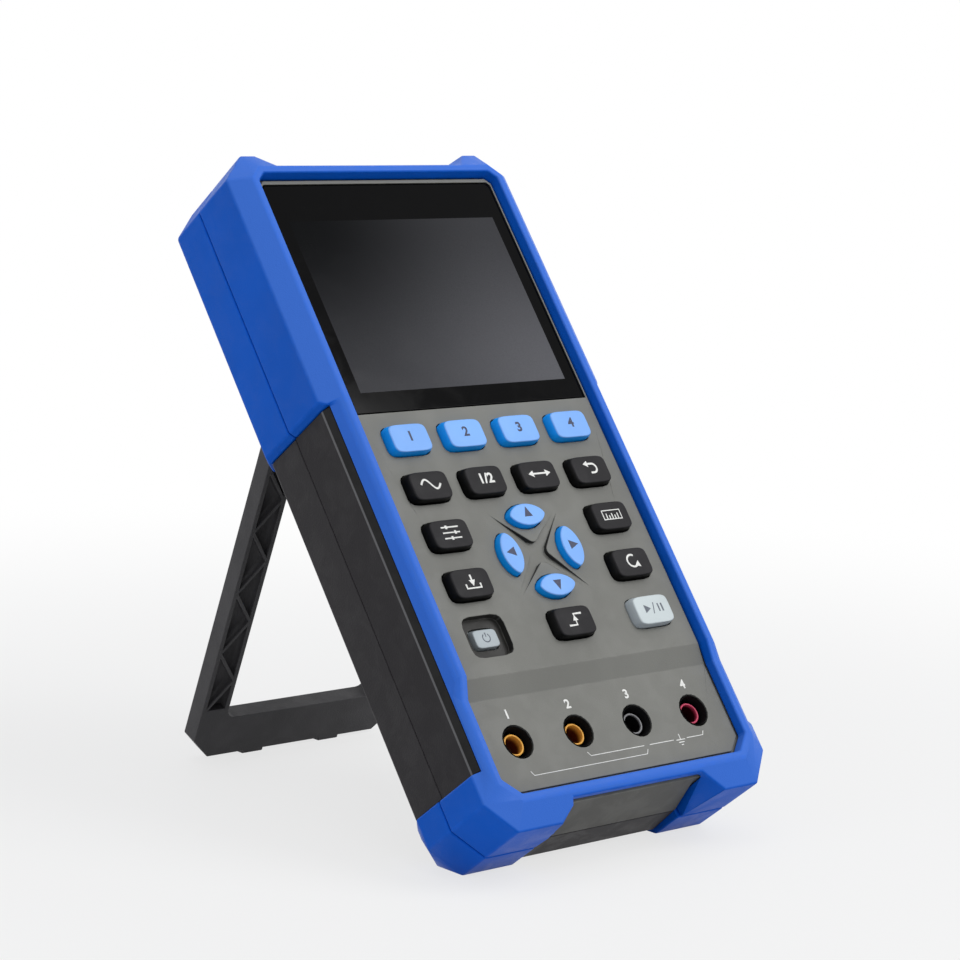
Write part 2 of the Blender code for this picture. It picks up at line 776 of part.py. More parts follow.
def bnc_steps(front):
    """Cups, wells and holes for the two round sockets in one shell."""
    cup_r = BNC_WELL_R + BAY_WALL
    cups = [prism(half_cup(s * BNC_X, cup_r, front), "z", CUP_LOW, CASE_TOP - 1) for s in (-1, 1)]
    wells = [rod("z", s * BNC_X, PART_Y, BNC_WELL_R, BNC_FLOOR, TOP_Z + 2) for s in (-1, 1)]
    holes = [rod("z", s * BNC_X, PART_Y, BNC_R + GAP, CUP_LOW - 2, BNC_FLOOR + 1) for s in (-1, 1)]
    return join(*cups), cut(*wells), cut(*holes)


def front_case(gray):
    seat_low = RIM_SEAT_Y + RIM_SEAT_SINK
    shoulder = [
        (-2, STEP_HIGH), (RIM_SEAT_Y, STEP_HIGH), (seat_low, STEP_LOW), (seat_low, -2), (-2, -2),
    ]
    plateau = prism(offset(INNER, -PANEL_GAP), "y", 0, seat_low + 0.7)
    chin_half = CHIN_HALF - GAP
    chin_front = CHIN_FRONT_HALF - GAP + (CHIN_HALF - CHIN_FRONT_HALF) * 0.2
    chin_y = seat_low + 0.1
    chin_plan = [(-chin_front, chin_y), (chin_front, chin_y), (chin_half, FRONT_END), (-chin_half, FRONT_END)]
    chin_z = [CHIN_EDGE_Z - GAP, CHIN_EDGE_Z - GAP, CHIN_BACK_Z, CHIN_BACK_Z]
    chin_foot = [(x, y, z) for (x, y), z in zip(chin_plan, chin_z)]
    chin_head = place(chin_plan, "z", CASE_LOW + 2)
    head_half = TOP_HALF - GAP
    head = block(-head_half, head_half, TOP_FRONT_Y + GAP, FRONT_END, CASE_TOP - 2, TOP_Z)

    inside = CASE_HALF - WALL
    split = STEP_HIGH + 1.5
    roof = CASE_TOP - WALL
    upper = [
        (-inside + CASE_TOP_CUT, roof), (inside - CASE_TOP_CUT, roof), (inside, roof - CASE_TOP_CUT),
        (inside, split), (-inside, split), (-inside, roof - CASE_TOP_CUT),
    ]
    floor = CASE_LOW + WALL
    lower = [
        (-inside, split + 0.5), (inside, split + 0.5), (inside, floor + CASE_FOOT_CUT),
        (inside - CASE_FOOT_CUT, floor), (CASE_FOOT_CUT - inside, floor),
        (-inside, floor + CASE_FOOT_CUT),
    ]
    step = [
        (-2, STEP_HIGH), (0, STEP_HIGH), (JACK_PANEL_SINK, STEP_LOW),
        (JACK_PANEL_SINK, JACK_PANEL_LOW - 0.5), (-2, JACK_PANEL_LOW - 0.5),
    ]
    step_half = PANEL_HALF + JACK_PANEL_JOG
    holes = [
        prism(key_outline(x, z, sort, GAP), "y", -2, PANEL_T + 2)
        for name, x, z, sort, colour in key_places()
    ]
    wells = [rod("y", x, JACK_Z, WELL_R + COLLAR_T + GAP, -2, JACK_BACK + 2) for x in jack_places()]
    power_x, power_z = COLUMN_X[0], ROW_Z[0]
    power_well = soft_box(power_x, power_z, POWER_WELL_W, POWER_WELL_H)
    ledge_x = inside - LEDGE_W

    def ledges(side):
        x0, x1 = sorted((side * ledge_x, side * (inside + 0.3)))
        return (
            block(x0, x1, PANEL_T - 0.2, KEY_BOARD_Y - GAP, BOARD_LOW + 2, BOARD_TOP - 4),
            block(x0, x1, PANEL_T - 0.2, MAIN_Y - GAP, LCD_LOW + 2, MAIN_TOP - 2),
        )

    pillars = [
        rod("y", x, z, PILLAR_R, (PANEL_T if z > STEP_HIGH else JACK_BACK) - 0.2, FRONT_END, 12)
        for x, z in screw_places()
    ]
    pilots = [rod("y", x, z, SCREW_R + GAP, SCREW_TIP_Y - 1, PART_Y + 1, 12) for x, z in screw_places()]
    cups, cup_wells, cup_holes = bnc_steps(True)
    usb_y = MAIN_BACK + GAP + USB_H / 2
    slot = block(
        -USB_W / 2 - GAP, USB_W / 2 + GAP, usb_y - USB_H / 2 - GAP, usb_y + USB_H / 2 + GAP,
        roof - 2, TOP_Z + 2,
    )
    return piece(
        "front_case", gray, prism(CASE, "y", RIM_SEAT_Y, FRONT_END),
        cut(prism(shoulder, "x", -HALF_W, HALF_W)),
        join(plateau, lambda bm: stack(bm, [chin_head, chin_foot]), head),
        cut(prism(upper, "y", PANEL_T, PART_Y + 1)),
        cut(prism(lower, "y", JACK_BACK, PART_Y + 1)),
        cut(prism(step, "x", -step_half, step_half)),
        cut(cross_cut),
        cut(prism(offset(window_outline(), GAP), "y", -2, SEAT_Y)),
        cut(prism(power_well, "y", -2, POWER_WELL_DEEP)),
        cut(prism(sight_outline(), "y", 0, PANEL_T + 2), *holes, *wells),
        join(*ledges(1), *ledges(-1), *pillars), cups, cut(*pilots, slot), cup_wells, cup_holes,
    )


def leg_pocket(side):
    """Room for one leg: a straight channel, round at the pivot, with the stop face above it."""
    radius = STAND_T / 2 + GAP
    stop = math.pi / 2 - STAND_OPEN
    turns = [math.pi - (math.pi - STAND_OPEN) * i / 8 for i in range(9)]
    outline = [(BACK + 2, RECESS_LOW + STAND_CORNER), (POCKET_Y, RECESS_LOW + STAND_CORNER)]
    outline += [(PIVOT_Y + radius * math.cos(t), PIVOT_Z + radius * math.sin(t)) for t in turns]
    last_y, last_z = outline[-1]
    outline.append((BACK + 2, last_z - (BACK + 2 - last_y) * math.tan(stop)))
    x0, x1 = sorted((side * (STAND_IN - GAP), side * (STAND_OUT + GAP)))
    return prism(outline, "x", x0, x1)


def rear_case(dark):
    back_y = BACK - LIP_T - GAP
    loops = [
        place(CASE, "y", REAR_END), place(CASE, "y", BACK_EDGE_Y - 0.5),
        place(offset(CASE, -CASE_BEVEL), "y", back_y),
    ]
    plateau = prism(offset(CASE, -LIP_W - GAP), "y", back_y - 1, BACK)

    def side_grip(side):
        corners = [
            (CASE_HALF - 1, REAR_END), (GRIP_HALF, REAR_END), (GRIP_HALF, GRIP_EDGE_Y),
            (HALF_W - BACK_BEVEL - GRIP_INSET, BACK - GAP), (CASE_HALF - 7, BACK - GAP),
            (CASE_HALF - 7, back_y - 2), (CASE_HALF - 1, BACK_EDGE_Y - 2),
        ]
        return prism([(side * x, y) for x, y in corners], "z", BUMPER_FOOT + GAP, BUMPER_HEAD - GAP)

    chin_half = CHIN_HALF - GAP
    end_y = back_y - 0.3
    chin = [
        (REAR_END, CASE_LOW + 3), (REAR_END, CHIN_BACK_Z), (REST_Y - 0.5, CHIN_BACK_Z - 0.8),
        (end_y, CHIN_BACK_Z - 0.8 + CHIN_RISE), (end_y, CASE_LOW + 4),
    ]
    head_half = TOP_HALF - GAP
    head = [
        (REAR_END, CASE_TOP - 2), (REAR_END, TOP_Z), (end_y - 2.2, TOP_Z), (end_y, TOP_Z - 2.2),
        (end_y, CASE_TOP - 4),
    ]
    post_base = REAR_DEEP + 0.7
    posts = [rod("y", x, z, POST_R, REAR_END, post_base, 16) for x, z in screw_places()]
    head_wells = [rod("y", x, z, SCREW_HEAD_R + GAP, SCREW_SEAT_Y, BACK + 2, 16) for x, z in screw_places()]
    shank_r = SCREW_R + 2 * GAP
    shanks = [rod("y", x, z, shank_r, REAR_END - 2, SCREW_SEAT_Y + 1, 12) for x, z in screw_places()]
    bay_out = BAY_HALF + BAY_WALL
    bay_box = block(-bay_out, bay_out, BAY_Y, REAR_DEEP + 1, BAY_LOW - BAY_WALL, BAY_TOP + BAY_WALL)
    bay = block(-BAY_HALF, BAY_HALF, BAY_Y + BAY_WALL, BACK, BAY_LOW, BAY_TOP)
    door_half = DOOR_HALF + GAP
    door = block(-door_half, door_half, DOOR_Y - GAP, BACK + 2, DOOR_LOW - GAP, DOOR_TOP + GAP)
    door_hole = rod("y", 0, DOOR_SCREW_Z, DOOR_SCREW_R + GAP, REAR_DEEP + 1.2, BACK, 12)
    reach = STAND_OUT + GAP
    low, corner = RECESS_LOW, STAND_CORNER
    bend_r = STAND_FILLET - GAP
    bar = ring_outline(STAND_IN - STAND_FILLET, RECESS_TOP + bend_r, bend_r, 5, -math.pi / 2, math.pi / 2)
    bar += [(reach, RECESS_TOP + bend_r), (reach, low + corner), (reach - corner, low)]
    bar += [(-x, z) for x, z in reversed(bar)]
    pin = ring_outline(PIVOT_Y, PIVOT_Z, TRUNNION_R + GAP, 16)
    pins = [prism(pin, "x", s * (reach - 1), s * (reach + TRUNNION_L)) for s in (-1, 1)]
    deep_low, deep_top = PIVOT_Z + 8, SCREW_HIGH_Z - POST_R - 1
    deep = block(-SCREW_HIGH_X, SCREW_HIGH_X, REAR_DEEP - 1, back_y - 0.5, deep_low, deep_top)
    cups, cup_wells, cup_holes = bnc_steps(False)
    return piece(
        "rear_case", dark, lambda bm: stack(bm, loops),
        join(plateau), join(*both_sides(side_grip)),
        join(prism(chin, "x", -chin_half, chin_half), prism(head, "x", -head_half, head_half)),
        cut(prism(offset(CASE, -WALL), "y", REAR_END - 2, REAR_DEEP)), cut(deep),
        join(bay_box, *posts), cups,
        cut(bay), cut(door), cut(door_hole), cut(*both_sides(leg_pocket)),
        cut(prism(bar, "y", POCKET_Y, BACK + 2)), cut(*pins),
        cut(*head_wells), cut(*shanks), cup_wells, cup_holes,
    )


def grip(name, dark, side):
    """Dark strip on the front half of one side, below the rim."""
    inner, front = CASE_HALF + GAP, STRIP_EDGE_Y + GAP
    corners = [
        (inner, front), (STRIP_HALF, front), (GRIP_HALF, GRIP_BEVEL_Y), (GRIP_HALF, FRONT_END), (inner, FRONT_END),
    ]
    return piece(
        name, dark, prism([(side * x, y) for x, y in corners], "z", BUMPER_FOOT + GAP, BUMPER_HEAD - GAP),
    )


def display(window, foam, glass, steel):
    piece("display_window", window, prism(window_outline(), "y", WINDOW_SINK, WINDOW_SINK + WINDOW_T))
    gasket_y = PANEL_T + GAP
    piece(
        "lcd_gasket", foam, prism(lcd_outline(), "y", gasket_y, gasket_y + GASKET_T),
        cut(prism(sight_outline(), "y", gasket_y - 1, gasket_y + GASKET_T + 1)),
    )
    piece("lcd_panel", glass, prism(lcd_outline(), "y", LCD_Y, LCD_Y + LCD_T))
    tray_front = LCD_Y + LCD_T - TRAY_LIP
    piece(
        "lcd_tray", steel, prism(offset(lcd_outline(), TRAY_OVER), "y", tray_front, TRAY_BACK),
        cut(prism(offset(lcd_outline(), GAP), "y", tray_front - 1, LCD_Y + LCD_T + GAP)),
    )


def keypad(rubber, board):
    half = COLUMN_X[3] + KEY_W / 2
    spread = STEM_W + 4 * GAP
    stems = [
        block(x - spread / 2, x + spread / 2, MAT_Y - 1, MAT_Y + MAT_T + 1, z - spread / 2, z + spread / 2)
        for name, x, z, sort, colour in key_places()
    ]
    mat = box_outline(-half, half, BOARD_LOW, BOARD_TOP)
    piece("keypad_mat", rubber, prism(mat, "y", MAT_Y, MAT_Y + MAT_T), cut(*stems))
    plate = box_outline(-BOARD_HALF, BOARD_HALF, BOARD_LOW, BOARD_TOP)
    piece("key_board", board, prism(plate, "y", KEY_BOARD_Y, KEY_BOARD_Y + BOARD_T))


def electronics(board, steel, black, ceramic):
    foot_top = BOARD_LOW
    main = mirrored([
        (0, CUP_LOW), (TONGUE_HALF, CUP_LOW), (TONGUE_HALF, MAIN_TOP), (BOARD_HALF, MAIN_TOP),
        (BOARD_HALF, foot_top), (MAIN_FOOT_HALF, foot_top), (MAIN_FOOT_HALF, STEP_LOW + 1),
        (0, STEP_LOW + 1),
    ])
    half = CHIP_SIZE / 2
    chips = [
        block(x - half, x + half, MAIN_Y - CHIP_T, MAIN_Y + 0.3, z - half, z + half)
        for x, z in ((0.0, PAD_Z), (-BNC_X, SCREEN_Z), (BNC_X, SCREEN_Z))
    ]
    piece("main_board", board, prism(main, "y", MAIN_Y, MAIN_BACK), join(*chips))
    shield_y = MAIN_BACK + GAP
    shield_top = MAIN_TOP - 3
    shield_low = shield_top - SHIELD_H
    can = block(-SHIELD_HALF, SHIELD_HALF, shield_y, shield_y + SHIELD_DEEP, shield_low, shield_top)
    hollow = block(
        SHIELD_T - SHIELD_HALF, SHIELD_HALF - SHIELD_T, shield_y - 1,
        shield_y + SHIELD_DEEP - SHIELD_T, shield_low + SHIELD_T, shield_top - SHIELD_T,
    )
    piece("shield_can", steel, can, cut(hollow))
    buzzer_z = shield_low - BUZZER_R - 6
    buzzer_x = BOARD_HALF - BUZZER_EDGE - BUZZER_R
    buzzer_back = shield_y + BUZZER_T
    piece("buzzer", black, rod("y", buzzer_x, buzzer_z, BUZZER_R, shield_y, buzzer_back, 16))
    fuse_y = shield_y + FUSE_R
    fuse_z = STEP_LOW + 2 + FUSE_R
    for name, side in (("fuse_high", -1), ("fuse_low", 1)):
        ends = sorted((side * FUSE_INNER, side * (FUSE_INNER + FUSE_L)))
        piece(name, ceramic, rod("x", fuse_y, fuse_z, FUSE_R, *ends, 12))


def jacks(black, metal, tube_colours):
    front = JACK_BACK + GAP
    floor = front + WELL_DEEP
    half_x = 1.5 * JACK_PITCH + WELL_R + BLOCK_WALL
    half_z = WELL_R + BLOCK_WALL
    body = block(-half_x, half_x, front, floor + BLOCK_FLOOR, JACK_Z - half_z, JACK_Z + half_z)
    collar_y = JACK_PANEL_SINK + COLLAR_SINK
    collars = [rod("y", x, JACK_Z, WELL_R + COLLAR_T, collar_y, front + 1) for x in jack_places()]
    wells = [rod("y", x, JACK_Z, WELL_R, collar_y - 1, floor) for x in jack_places()]
    tails = [rod("y", x, JACK_Z, CONTACT_R + GAP, floor - 1, floor + BLOCK_FLOOR + 1) for x in jack_places()]
    piece("jack_block", black, body, join(*collars), cut(*wells), cut(*tails))
    for (name, colour), x in zip(tube_colours, jack_places()):
        tube_y = JACK_PANEL_SINK + JACK_TUBE_SINK
        contact_y = JACK_PANEL_SINK + CONTACT_SINK
        sleeve = tube("y", x, JACK_Z, JACK_TUBE_R, JACK_TUBE_T, tube_y, floor - GAP)
        smooth(piece(f"jack_tube_{name}", colour, sleeve))
        spring = tube("y", x, JACK_Z, CONTACT_R, CONTACT_T, contact_y, floor + BLOCK_FLOOR + CONTACT_TAIL)
        smooth(piece(f"jack_contact_{name}", metal, spring))


def top_sockets(metal):
    for name, side in (("bnc_socket_left", -1), ("bnc_socket_right", 1)):
        x = side * BNC_X
        tip = TOP_Z + BNC_TIP_UP
        body_top = CUP_LOW - GAP
        profile = [
            (BNC_BODY_R, body_top - BNC_BODY_H), (BNC_BODY_R, body_top), (BNC_R, body_top), (BNC_R, tip),
            (BNC_BORE_R, tip), (BNC_BORE_R, tip - BNC_BORE_DEEP), (BNC_PIN_R, tip - BNC_BORE_DEEP),
            (BNC_PIN_R, tip - BNC_LUG_DROP),
        ]
        loops = [place(ring_outline(x, PART_Y, r), "z", z) for r, z in profile]
        lug = tip - BNC_LUG_DROP
        lugs = [
            prism(ring_outline(PART_Y, lug, BNC_LUG_R, 8), "x",
                  *sorted((x + s * (BNC_R - 0.5), x + s * (BNC_R + BNC_LUG_OUT))))
            for s in (-1, 1)
        ]
        smooth(piece(name, metal, lambda bm: stack(bm, loops), join(*lugs)))
    top = TOP_Z - USB_SINK
    y = MAIN_BACK + GAP + USB_H / 2
    shell = soft_box(0, y, USB_W, USB_H, 3.0)
    mouth = soft_box(0, y, USB_W - 2 * USB_T, USB_H - 2 * USB_T, 3.0)
    loops = [(shell, top - USB_L), (shell, top), (mouth, top), (mouth, top - USB_DEEP)]
    piece("usb_port", metal, lambda bm: stack(bm, [place(p, "z", z) for p, z in loops]))


def battery(sleeve, metal, dark):
    cell_low = BAY_LOW + CONTACT_PLATE_T + 2 * GAP
    cell_top = cell_low + CELL_L
    for name, side in (("battery_cell_left", -1), ("battery_cell_right", 1)):
        x = side * (CELL_R + GAP)
        body = ring_outline(x, CELL_Y, CELL_R, 24)
        nub = ring_outline(x, CELL_Y, CELL_NUB_R, 24)
        loops = [(body, cell_low), (body, cell_top), (nub, cell_top), (nub, cell_top + CELL_NUB_UP)]
        smooth(piece(name, sleeve, lambda bm: stack(bm, [place(p, "z", z) for p, z in loops])))
    half = BAY_HALF - 1
    half_y = CONTACT_PLATE_W / 2
    high = BAY_TOP - GAP - CONTACT_PLATE_T
    for name, z in (("battery_contact_low", BAY_LOW + GAP), ("battery_contact_high", high)):
        piece(name, metal, block(-half, half, CELL_Y - half_y, CELL_Y + half_y, z, z + CONTACT_PLATE_T))
    head_y = DOOR_Y + DOOR_T - DOOR_HEAD_T - DOOR_SINK
    piece(
        "battery_door", dark, block(-DOOR_HALF, DOOR_HALF, DOOR_Y, DOOR_Y + DOOR_T, DOOR_LOW, DOOR_TOP),
        cut(rod("y", 0, DOOR_SCREW_Z, DOOR_HEAD_R + GAP, head_y - GAP, BACK + 1, 16)),
        cut(rod("y", 0, DOOR_SCREW_Z, DOOR_SCREW_R + GAP, DOOR_Y - 1, BACK, 12)),
    )
    loops = [
        (DOOR_SCREW_R, REAR_DEEP + 1.5), (DOOR_SCREW_R, head_y), (DOOR_HEAD_R, head_y),
        (DOOR_HEAD_R, head_y + DOOR_HEAD_T),
    ]
    rings = [place(ring_outline(0, DOOR_SCREW_Z, r, 12), "y", y) for r, y in loops]
    smooth(piece("battery_screw", metal, lambda bm: stack(bm, rings)))


def case_screws(metal):
    for i, (x, z) in enumerate(screw_places()):
        seat = SCREW_SEAT_Y + GAP
        loops = [
            (SCREW_R, SCREW_TIP_Y), (SCREW_R, seat), (SCREW_HEAD_R, seat),
            (SCREW_HEAD_R, seat + SCREW_HEAD_T),
        ]
        rings = [place(ring_outline(x, z, r, 12), "y", y) for r, y in loops]
        drive = rod("y", x, z, DRIVE_R, seat + SCREW_HEAD_T - DRIVE_DEEP, seat + SCREW_HEAD_T + 1, 6)
        smooth(piece(f"case_screw_{i + 1}", metal, lambda bm: stack(bm, rings), cut(drive)))


def stand_outline():
    """The folded stand seen from behind, with its pivot at the origin."""
    top = STAND_T / 2
    low = -STAND_END
    corner = STAND_CORNER
    bend_x = STAND_IN - STAND_FILLET
    bend_z = STAND_FILLET - STAND_REACH_IN
    right = ring_outline(bend_x, bend_z, STAND_FILLET, 5, -math.pi / 2, math.pi / 2)
    right += [
        (STAND_IN, top), (STAND_OUT, top), (STAND_OUT, low + corner), (STAND_OUT - corner, low),
    ]
    return right + [(-x, z) for x, z in reversed(right)]


def rib_pockets(side):
    """Triangular pockets on the inner face of a leg, which leave a zigzag rib."""
    near = STAND_IN + RIB_EDGE - RIB_WEB / 2
    far = STAND_OUT - RIB_EDGE + RIB_WEB / 2
    run = (STAND_REACH_IN - RIB_FIRST - RIB_LAST) / RIB_BAYS
    turns = [(far if i % 2 else near, -RIB_FIRST - i * run) for i in range(RIB_BAYS + 1)]
    turns = [(near + far - turns[0][0], turns[0][1]), *turns, (near + far - turns[-1][0], turns[-1][1])]
    shapes = []
    for corners in zip(turns, turns[1:], turns[2:]):
        clockwise = corners if corners[1][0] == far else corners[::-1]
        pocket = [(side * x, z) for x, z in offset(clockwise, -RIB_WEB / 2)]
        shapes.append(prism(pocket, "y", -STAND_T, RIB_POCKET - STAND_T / 2))
    return shapes


def kickstand(dark):
    """U-shaped stand, built folded round its pivot and swung open."""
    half_t = STAND_T / 2

    def body(bm):
        stack(bm, [place(stand_outline(), "y", -half_t), place(stand_outline(), "y", half_t)])
        tops = [
            e for e in bm.edges
            if all(abs(v.co.z - half_t * MM) < 1e-7 for v in e.verts)
            and abs(e.verts[0].co.x - e.verts[1].co.x) > 1e-6
        ]
        bmesh.ops.bevel(
            bm, geom=tops, offset=(half_t - HUB_FLAT / 2) * MM, segments=4, profile=0.5, affect="EDGES",
        )

    def pad(side):
        end = [FOOT_S + FOOT_SLOPE * v for v in (-half_t, half_t)]
        outline = [
            (-half_t, -end[0]), (half_t, -end[1]), (half_t, 1 - STAND_END), (-half_t, 1 - STAND_END),
        ]
        x0, x1 = sorted((side * (PAD_X - PAD_W / 2), side * (PAD_X + PAD_W / 2)))
        return prism(outline, "x", x0, x1)

    pin = ring_outline(0, 0, TRUNNION_R, 16)
    pins = [prism(pin, "x", s * (STAND_OUT - 1), s * (STAND_OUT + TRUNNION_L)) for s in (-1, 1)]
    obj = mesh_object("kickstand", [body])
    obj.data.materials.append(dark)
    obj.location = Vector((0, PIVOT_Y, PIVOT_Z)) * MM
    obj.rotation_euler.x = STAND_OPEN
    work(obj, "UNION", pins + both_sides(pad))
    work(obj, "DIFFERENCE", rib_pockets(1) + rib_pockets(-1))
    return obj


def settle():
    """Drops the leaning case onto the ground, with the origin under the middle of its box."""
    bpy.context.view_layer.update()
    graph = bpy.context.evaluated_depsgraph_get()
    low = Vector((math.inf,) * 3)
    high = -low
    for obj in bpy.context.scene.objects:
        if obj.type != "MESH" or obj.hide_render:
            continue
        solid = obj.evaluated_get(graph)
        for vert in solid.data.vertices:
            place_at = solid.matrix_world @ vert.co
            low = Vector(map(min, low, place_at))
            high = Vector(map(max, high, place_at))
    STANCE.location = (0, -(low.y + high.y) / 2, -low.z)


clear_scene()
STANCE = bpy.data.objects.new("stance", None)
bpy.context.scene.collection.objects.link(STANCE)
STANCE.rotation_euler.x = -LEAN

BLUE = finish("bumper_blue", (0.01, 0.1, 0.46), 0.5)
GRAY = finish("panel_gray", (0.15, 0.15, 0.14), 0.55)
DARK = finish("case_dark", (0.035, 0.033, 0.035), 0.6)
BLACK = finish("black_plastic", (0.015, 0.015, 0.016), 0.5)
WINDOW = finish("window_black", (0.006, 0.006, 0.008), 0.08)
KEY_COLOURS = {
    "light_blue": finish("key_light_blue", (0.13, 0.36, 0.9), 0.45),
    "black": finish("key_black", (0.018, 0.018, 0.02), 0.5),
    "pale": finish("key_pale", (0.5, 0.55, 0.58), 0.45),
}
AMBER = finish("jack_amber", (0.8, 0.28, 0.01), 0.4)
RED = finish("jack_red", (0.25, 0.01, 0.02), 0.4)
STEEL = finish("steel", (0.6, 0.6, 0.6), 0.35, 1.0)
NICKEL = finish("nickel", (0.65, 0.62, 0.56), 0.3, 1.0)
BOARD = finish("board_green", (0.02, 0.12, 0.05), 0.5)
RUBBER = finish("silicone_gray", (0.2, 0.2, 0.21), 0.7)
GLASS = finish("lcd_glass", (0.03, 0.03, 0.035), 0.15)
SLEEVE = finish("cell_sleeve", (0.05, 0.2, 0.4), 0.5)
CERAMIC = finish("fuse_ceramic", (0.75, 0.73, 0.68), 0.5)

front_bumper(BLUE)
rear_bumper("rear_bumper_top", BLUE, BUMPER_HEAD, EAR_Z + 1, BACK_EDGE_TOP_Y)
rear_bumper("rear_bumper_bottom", BLUE, -1, BUMPER_FOOT, BACK_EDGE_Y)
front_case(GRAY)
rear_case(DARK)
grip("grip_left", DARK, -1)
grip("grip_right", DARK, 1)
display(WINDOW, RUBBER, GLASS, STEEL)
for key_name, key_x, key_z, key_sort, key_colour in key_places():
    key(key_name, key_x, key_z, key_sort, KEY_COLOURS[key_colour])
keypad(RUBBER, BOARD)
electronics(BOARD, STEEL, BLACK, CERAMIC)
jacks(BLACK, NICKEL, [("amps", AMBER), ("milliamps", AMBER), ("common", BLACK), ("volts", RED)])
top_sockets(NICKEL)
battery(SLEEVE, NICKEL, DARK)
case_screws(STEEL)
kickstand(DARK)
settle()
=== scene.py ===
"""Looks of a handheld oscilloscope that leans back on its kickstand."""

import json
import math

import bmesh
import bpy
from mathutils import Matrix, Vector
from mathutils.geometry import intersect_point_line


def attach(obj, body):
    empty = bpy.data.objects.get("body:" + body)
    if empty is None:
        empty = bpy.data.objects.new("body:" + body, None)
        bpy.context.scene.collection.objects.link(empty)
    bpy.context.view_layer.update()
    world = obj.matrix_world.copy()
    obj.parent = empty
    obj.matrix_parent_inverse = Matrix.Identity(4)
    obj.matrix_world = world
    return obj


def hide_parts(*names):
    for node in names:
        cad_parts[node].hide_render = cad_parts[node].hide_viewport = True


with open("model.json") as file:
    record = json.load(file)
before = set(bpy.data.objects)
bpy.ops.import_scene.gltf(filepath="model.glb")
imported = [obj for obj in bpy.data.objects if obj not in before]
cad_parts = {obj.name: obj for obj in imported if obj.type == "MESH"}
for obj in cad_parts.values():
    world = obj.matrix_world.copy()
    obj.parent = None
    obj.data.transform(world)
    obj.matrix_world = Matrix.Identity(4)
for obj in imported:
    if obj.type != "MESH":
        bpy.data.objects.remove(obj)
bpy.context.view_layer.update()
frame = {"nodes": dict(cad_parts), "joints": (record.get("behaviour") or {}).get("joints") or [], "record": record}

# The tool's own upright frame is in millimetres: x right, y into the case from the key panel, z up.
MM = 0.001
LEAN = math.radians(38)
HINGE = Vector((0, 32.7, 137))
hinge_joint = next(j for j in frame["joints"] if j["name"] == "stand_hinge")
LEANED = (
    Matrix.Translation(Vector(hinge_joint["pos_m"]))
    @ Matrix.Rotation(-LEAN, 4, "X")
    @ Matrix.Scale(MM, 4)
    @ Matrix.Translation(-HINGE)
)
UPRIGHT = LEANED.inverted()
BODY_OF = {
    node: body
    for body, nodes in frame["record"]["behaviour"]["bodies"].items()
    for node in nodes
}
SLOT_OF = {
    name: node.data.materials[0].name.split(".")[0] for name, node in frame["nodes"].items()
}

# Keys, in millimetres.
KEY_W, KEY_H, KEY_TOP = 13.4, 8.4, -2.5
POWER_W, POWER_H, POWER_TOP = 8.0, 5.5, 0.8
ARROW_L, ARROW_S, ARROW_TOP = 12.2, 6.8, -2.0
KEY_SHOULDER, FACE_DROP = 1.6, 0.3
KEY_SQUARE = 5.4
ARROW_POINT = 0.3
FLANGE_FRONT, FLANGE_BACK, STEM_BACK = 3.3, 4.2, 5.4
FLANGE_OUT, STEM_W = 1.1, 3.4
KEY_ROWS = (50.6, 64.65, 78.7, 92.75, 106.8)
KEY_COLUMNS = (-27.45, -9.15, 9.15, 27.45)
PAD_Z, ARROW_OUT = 71.675, 10.3

# Screen and jacks, in millimetres.
SCREEN_HALF, SCREEN_TALL, SCREEN_Z = 35.04, 26.28, 148.08
JACK_X = (-30.09, -10.03, 10.03, 30.09)
JACK_Z, JACK_PANEL_Y, TUBE_FRONT = 22.6, 2.0, 3.9
WELL_R, WELL_MOUTH_R = 3.7, 4.12
PRINT_T, SIGN_GROW = 0.05, 1.2
RANGE_LINE, EARTH_LINE = 0.22, 0.26

# Hollows of the panel, in millimetres, and how far the chin takes their painted shade.
CHIN_TOP, CHIN_PAINTED_SHADE = 6.0, 0.6
HOLLOW_FRONT, HOLLOW_BACK = 0.1, 3.0
POWER_RECESS_X, POWER_RECESS_Z = 7.2, 6.2

# Moulded edges: how far they turn in degrees, and places where they stay square in millimetres.
FLAT_TURN, SLIGHT_TURN, CLEAR_TURN = 0.5, 8, 28
LONG_EDGE, STRIP_EDGE, STRIP_ROOM = 30.0, 6.0, 2.1
LEDGE_X, LEDGE_Y = (44.9, 45.9), (0.7, 2.6)
TOP_INSIDE, SEAT_Y, SQUARE_REACH = 188.46, 33.9, 0.1

# Camera: its place in millimetres and its directions, both in the upright frame.
PHOTO_WIDTH, FOCAL_PIXELS = 960, 2816.5
CAMERA_AT = Vector((-475.3, -498.4, -152.7))
CAMERA_RIGHT = Vector((0.7624, -0.5291, -0.3725))
CAMERA_AHEAD = Vector((0.6426, 0.6868, 0.3396))


# Node helpers.

def srgb(red, green, blue):
    """A colour picked as 0 to 255 screen values, as a shader colour."""
    def linear(value):
        value /= 255
        return value / 12.92 if value <= 0.04045 else ((value + 0.055) / 1.055) ** 2.4
    return (linear(red), linear(green), linear(blue), 1.0)


def add(tree, kind, inputs=(), **settings):
    """Adds a node; an input takes a value, or a socket that it is linked from."""
    made = tree.nodes.new(kind)
    for key, value in settings.items():
        setattr(made, key, value)
    for key, value in dict(inputs).items():
        if isinstance(value, bpy.types.NodeSocket):
            tree.links.new(value, made.inputs[key])
        else:
            made.inputs[key].default_value = value
    return made


def mixed(tree, factor, first, second):
    """Colour output of a Mix node."""
    mix = add(tree, "ShaderNodeMix", data_type="RGBA")
    for socket, value in ((mix.inputs[0], factor), (mix.inputs[6], first), (mix.inputs[7], second)):
        if isinstance(value, bpy.types.NodeSocket):
            tree.links.new(value, socket)
        else:
            socket.default_value = value
    return mix.outputs[2]


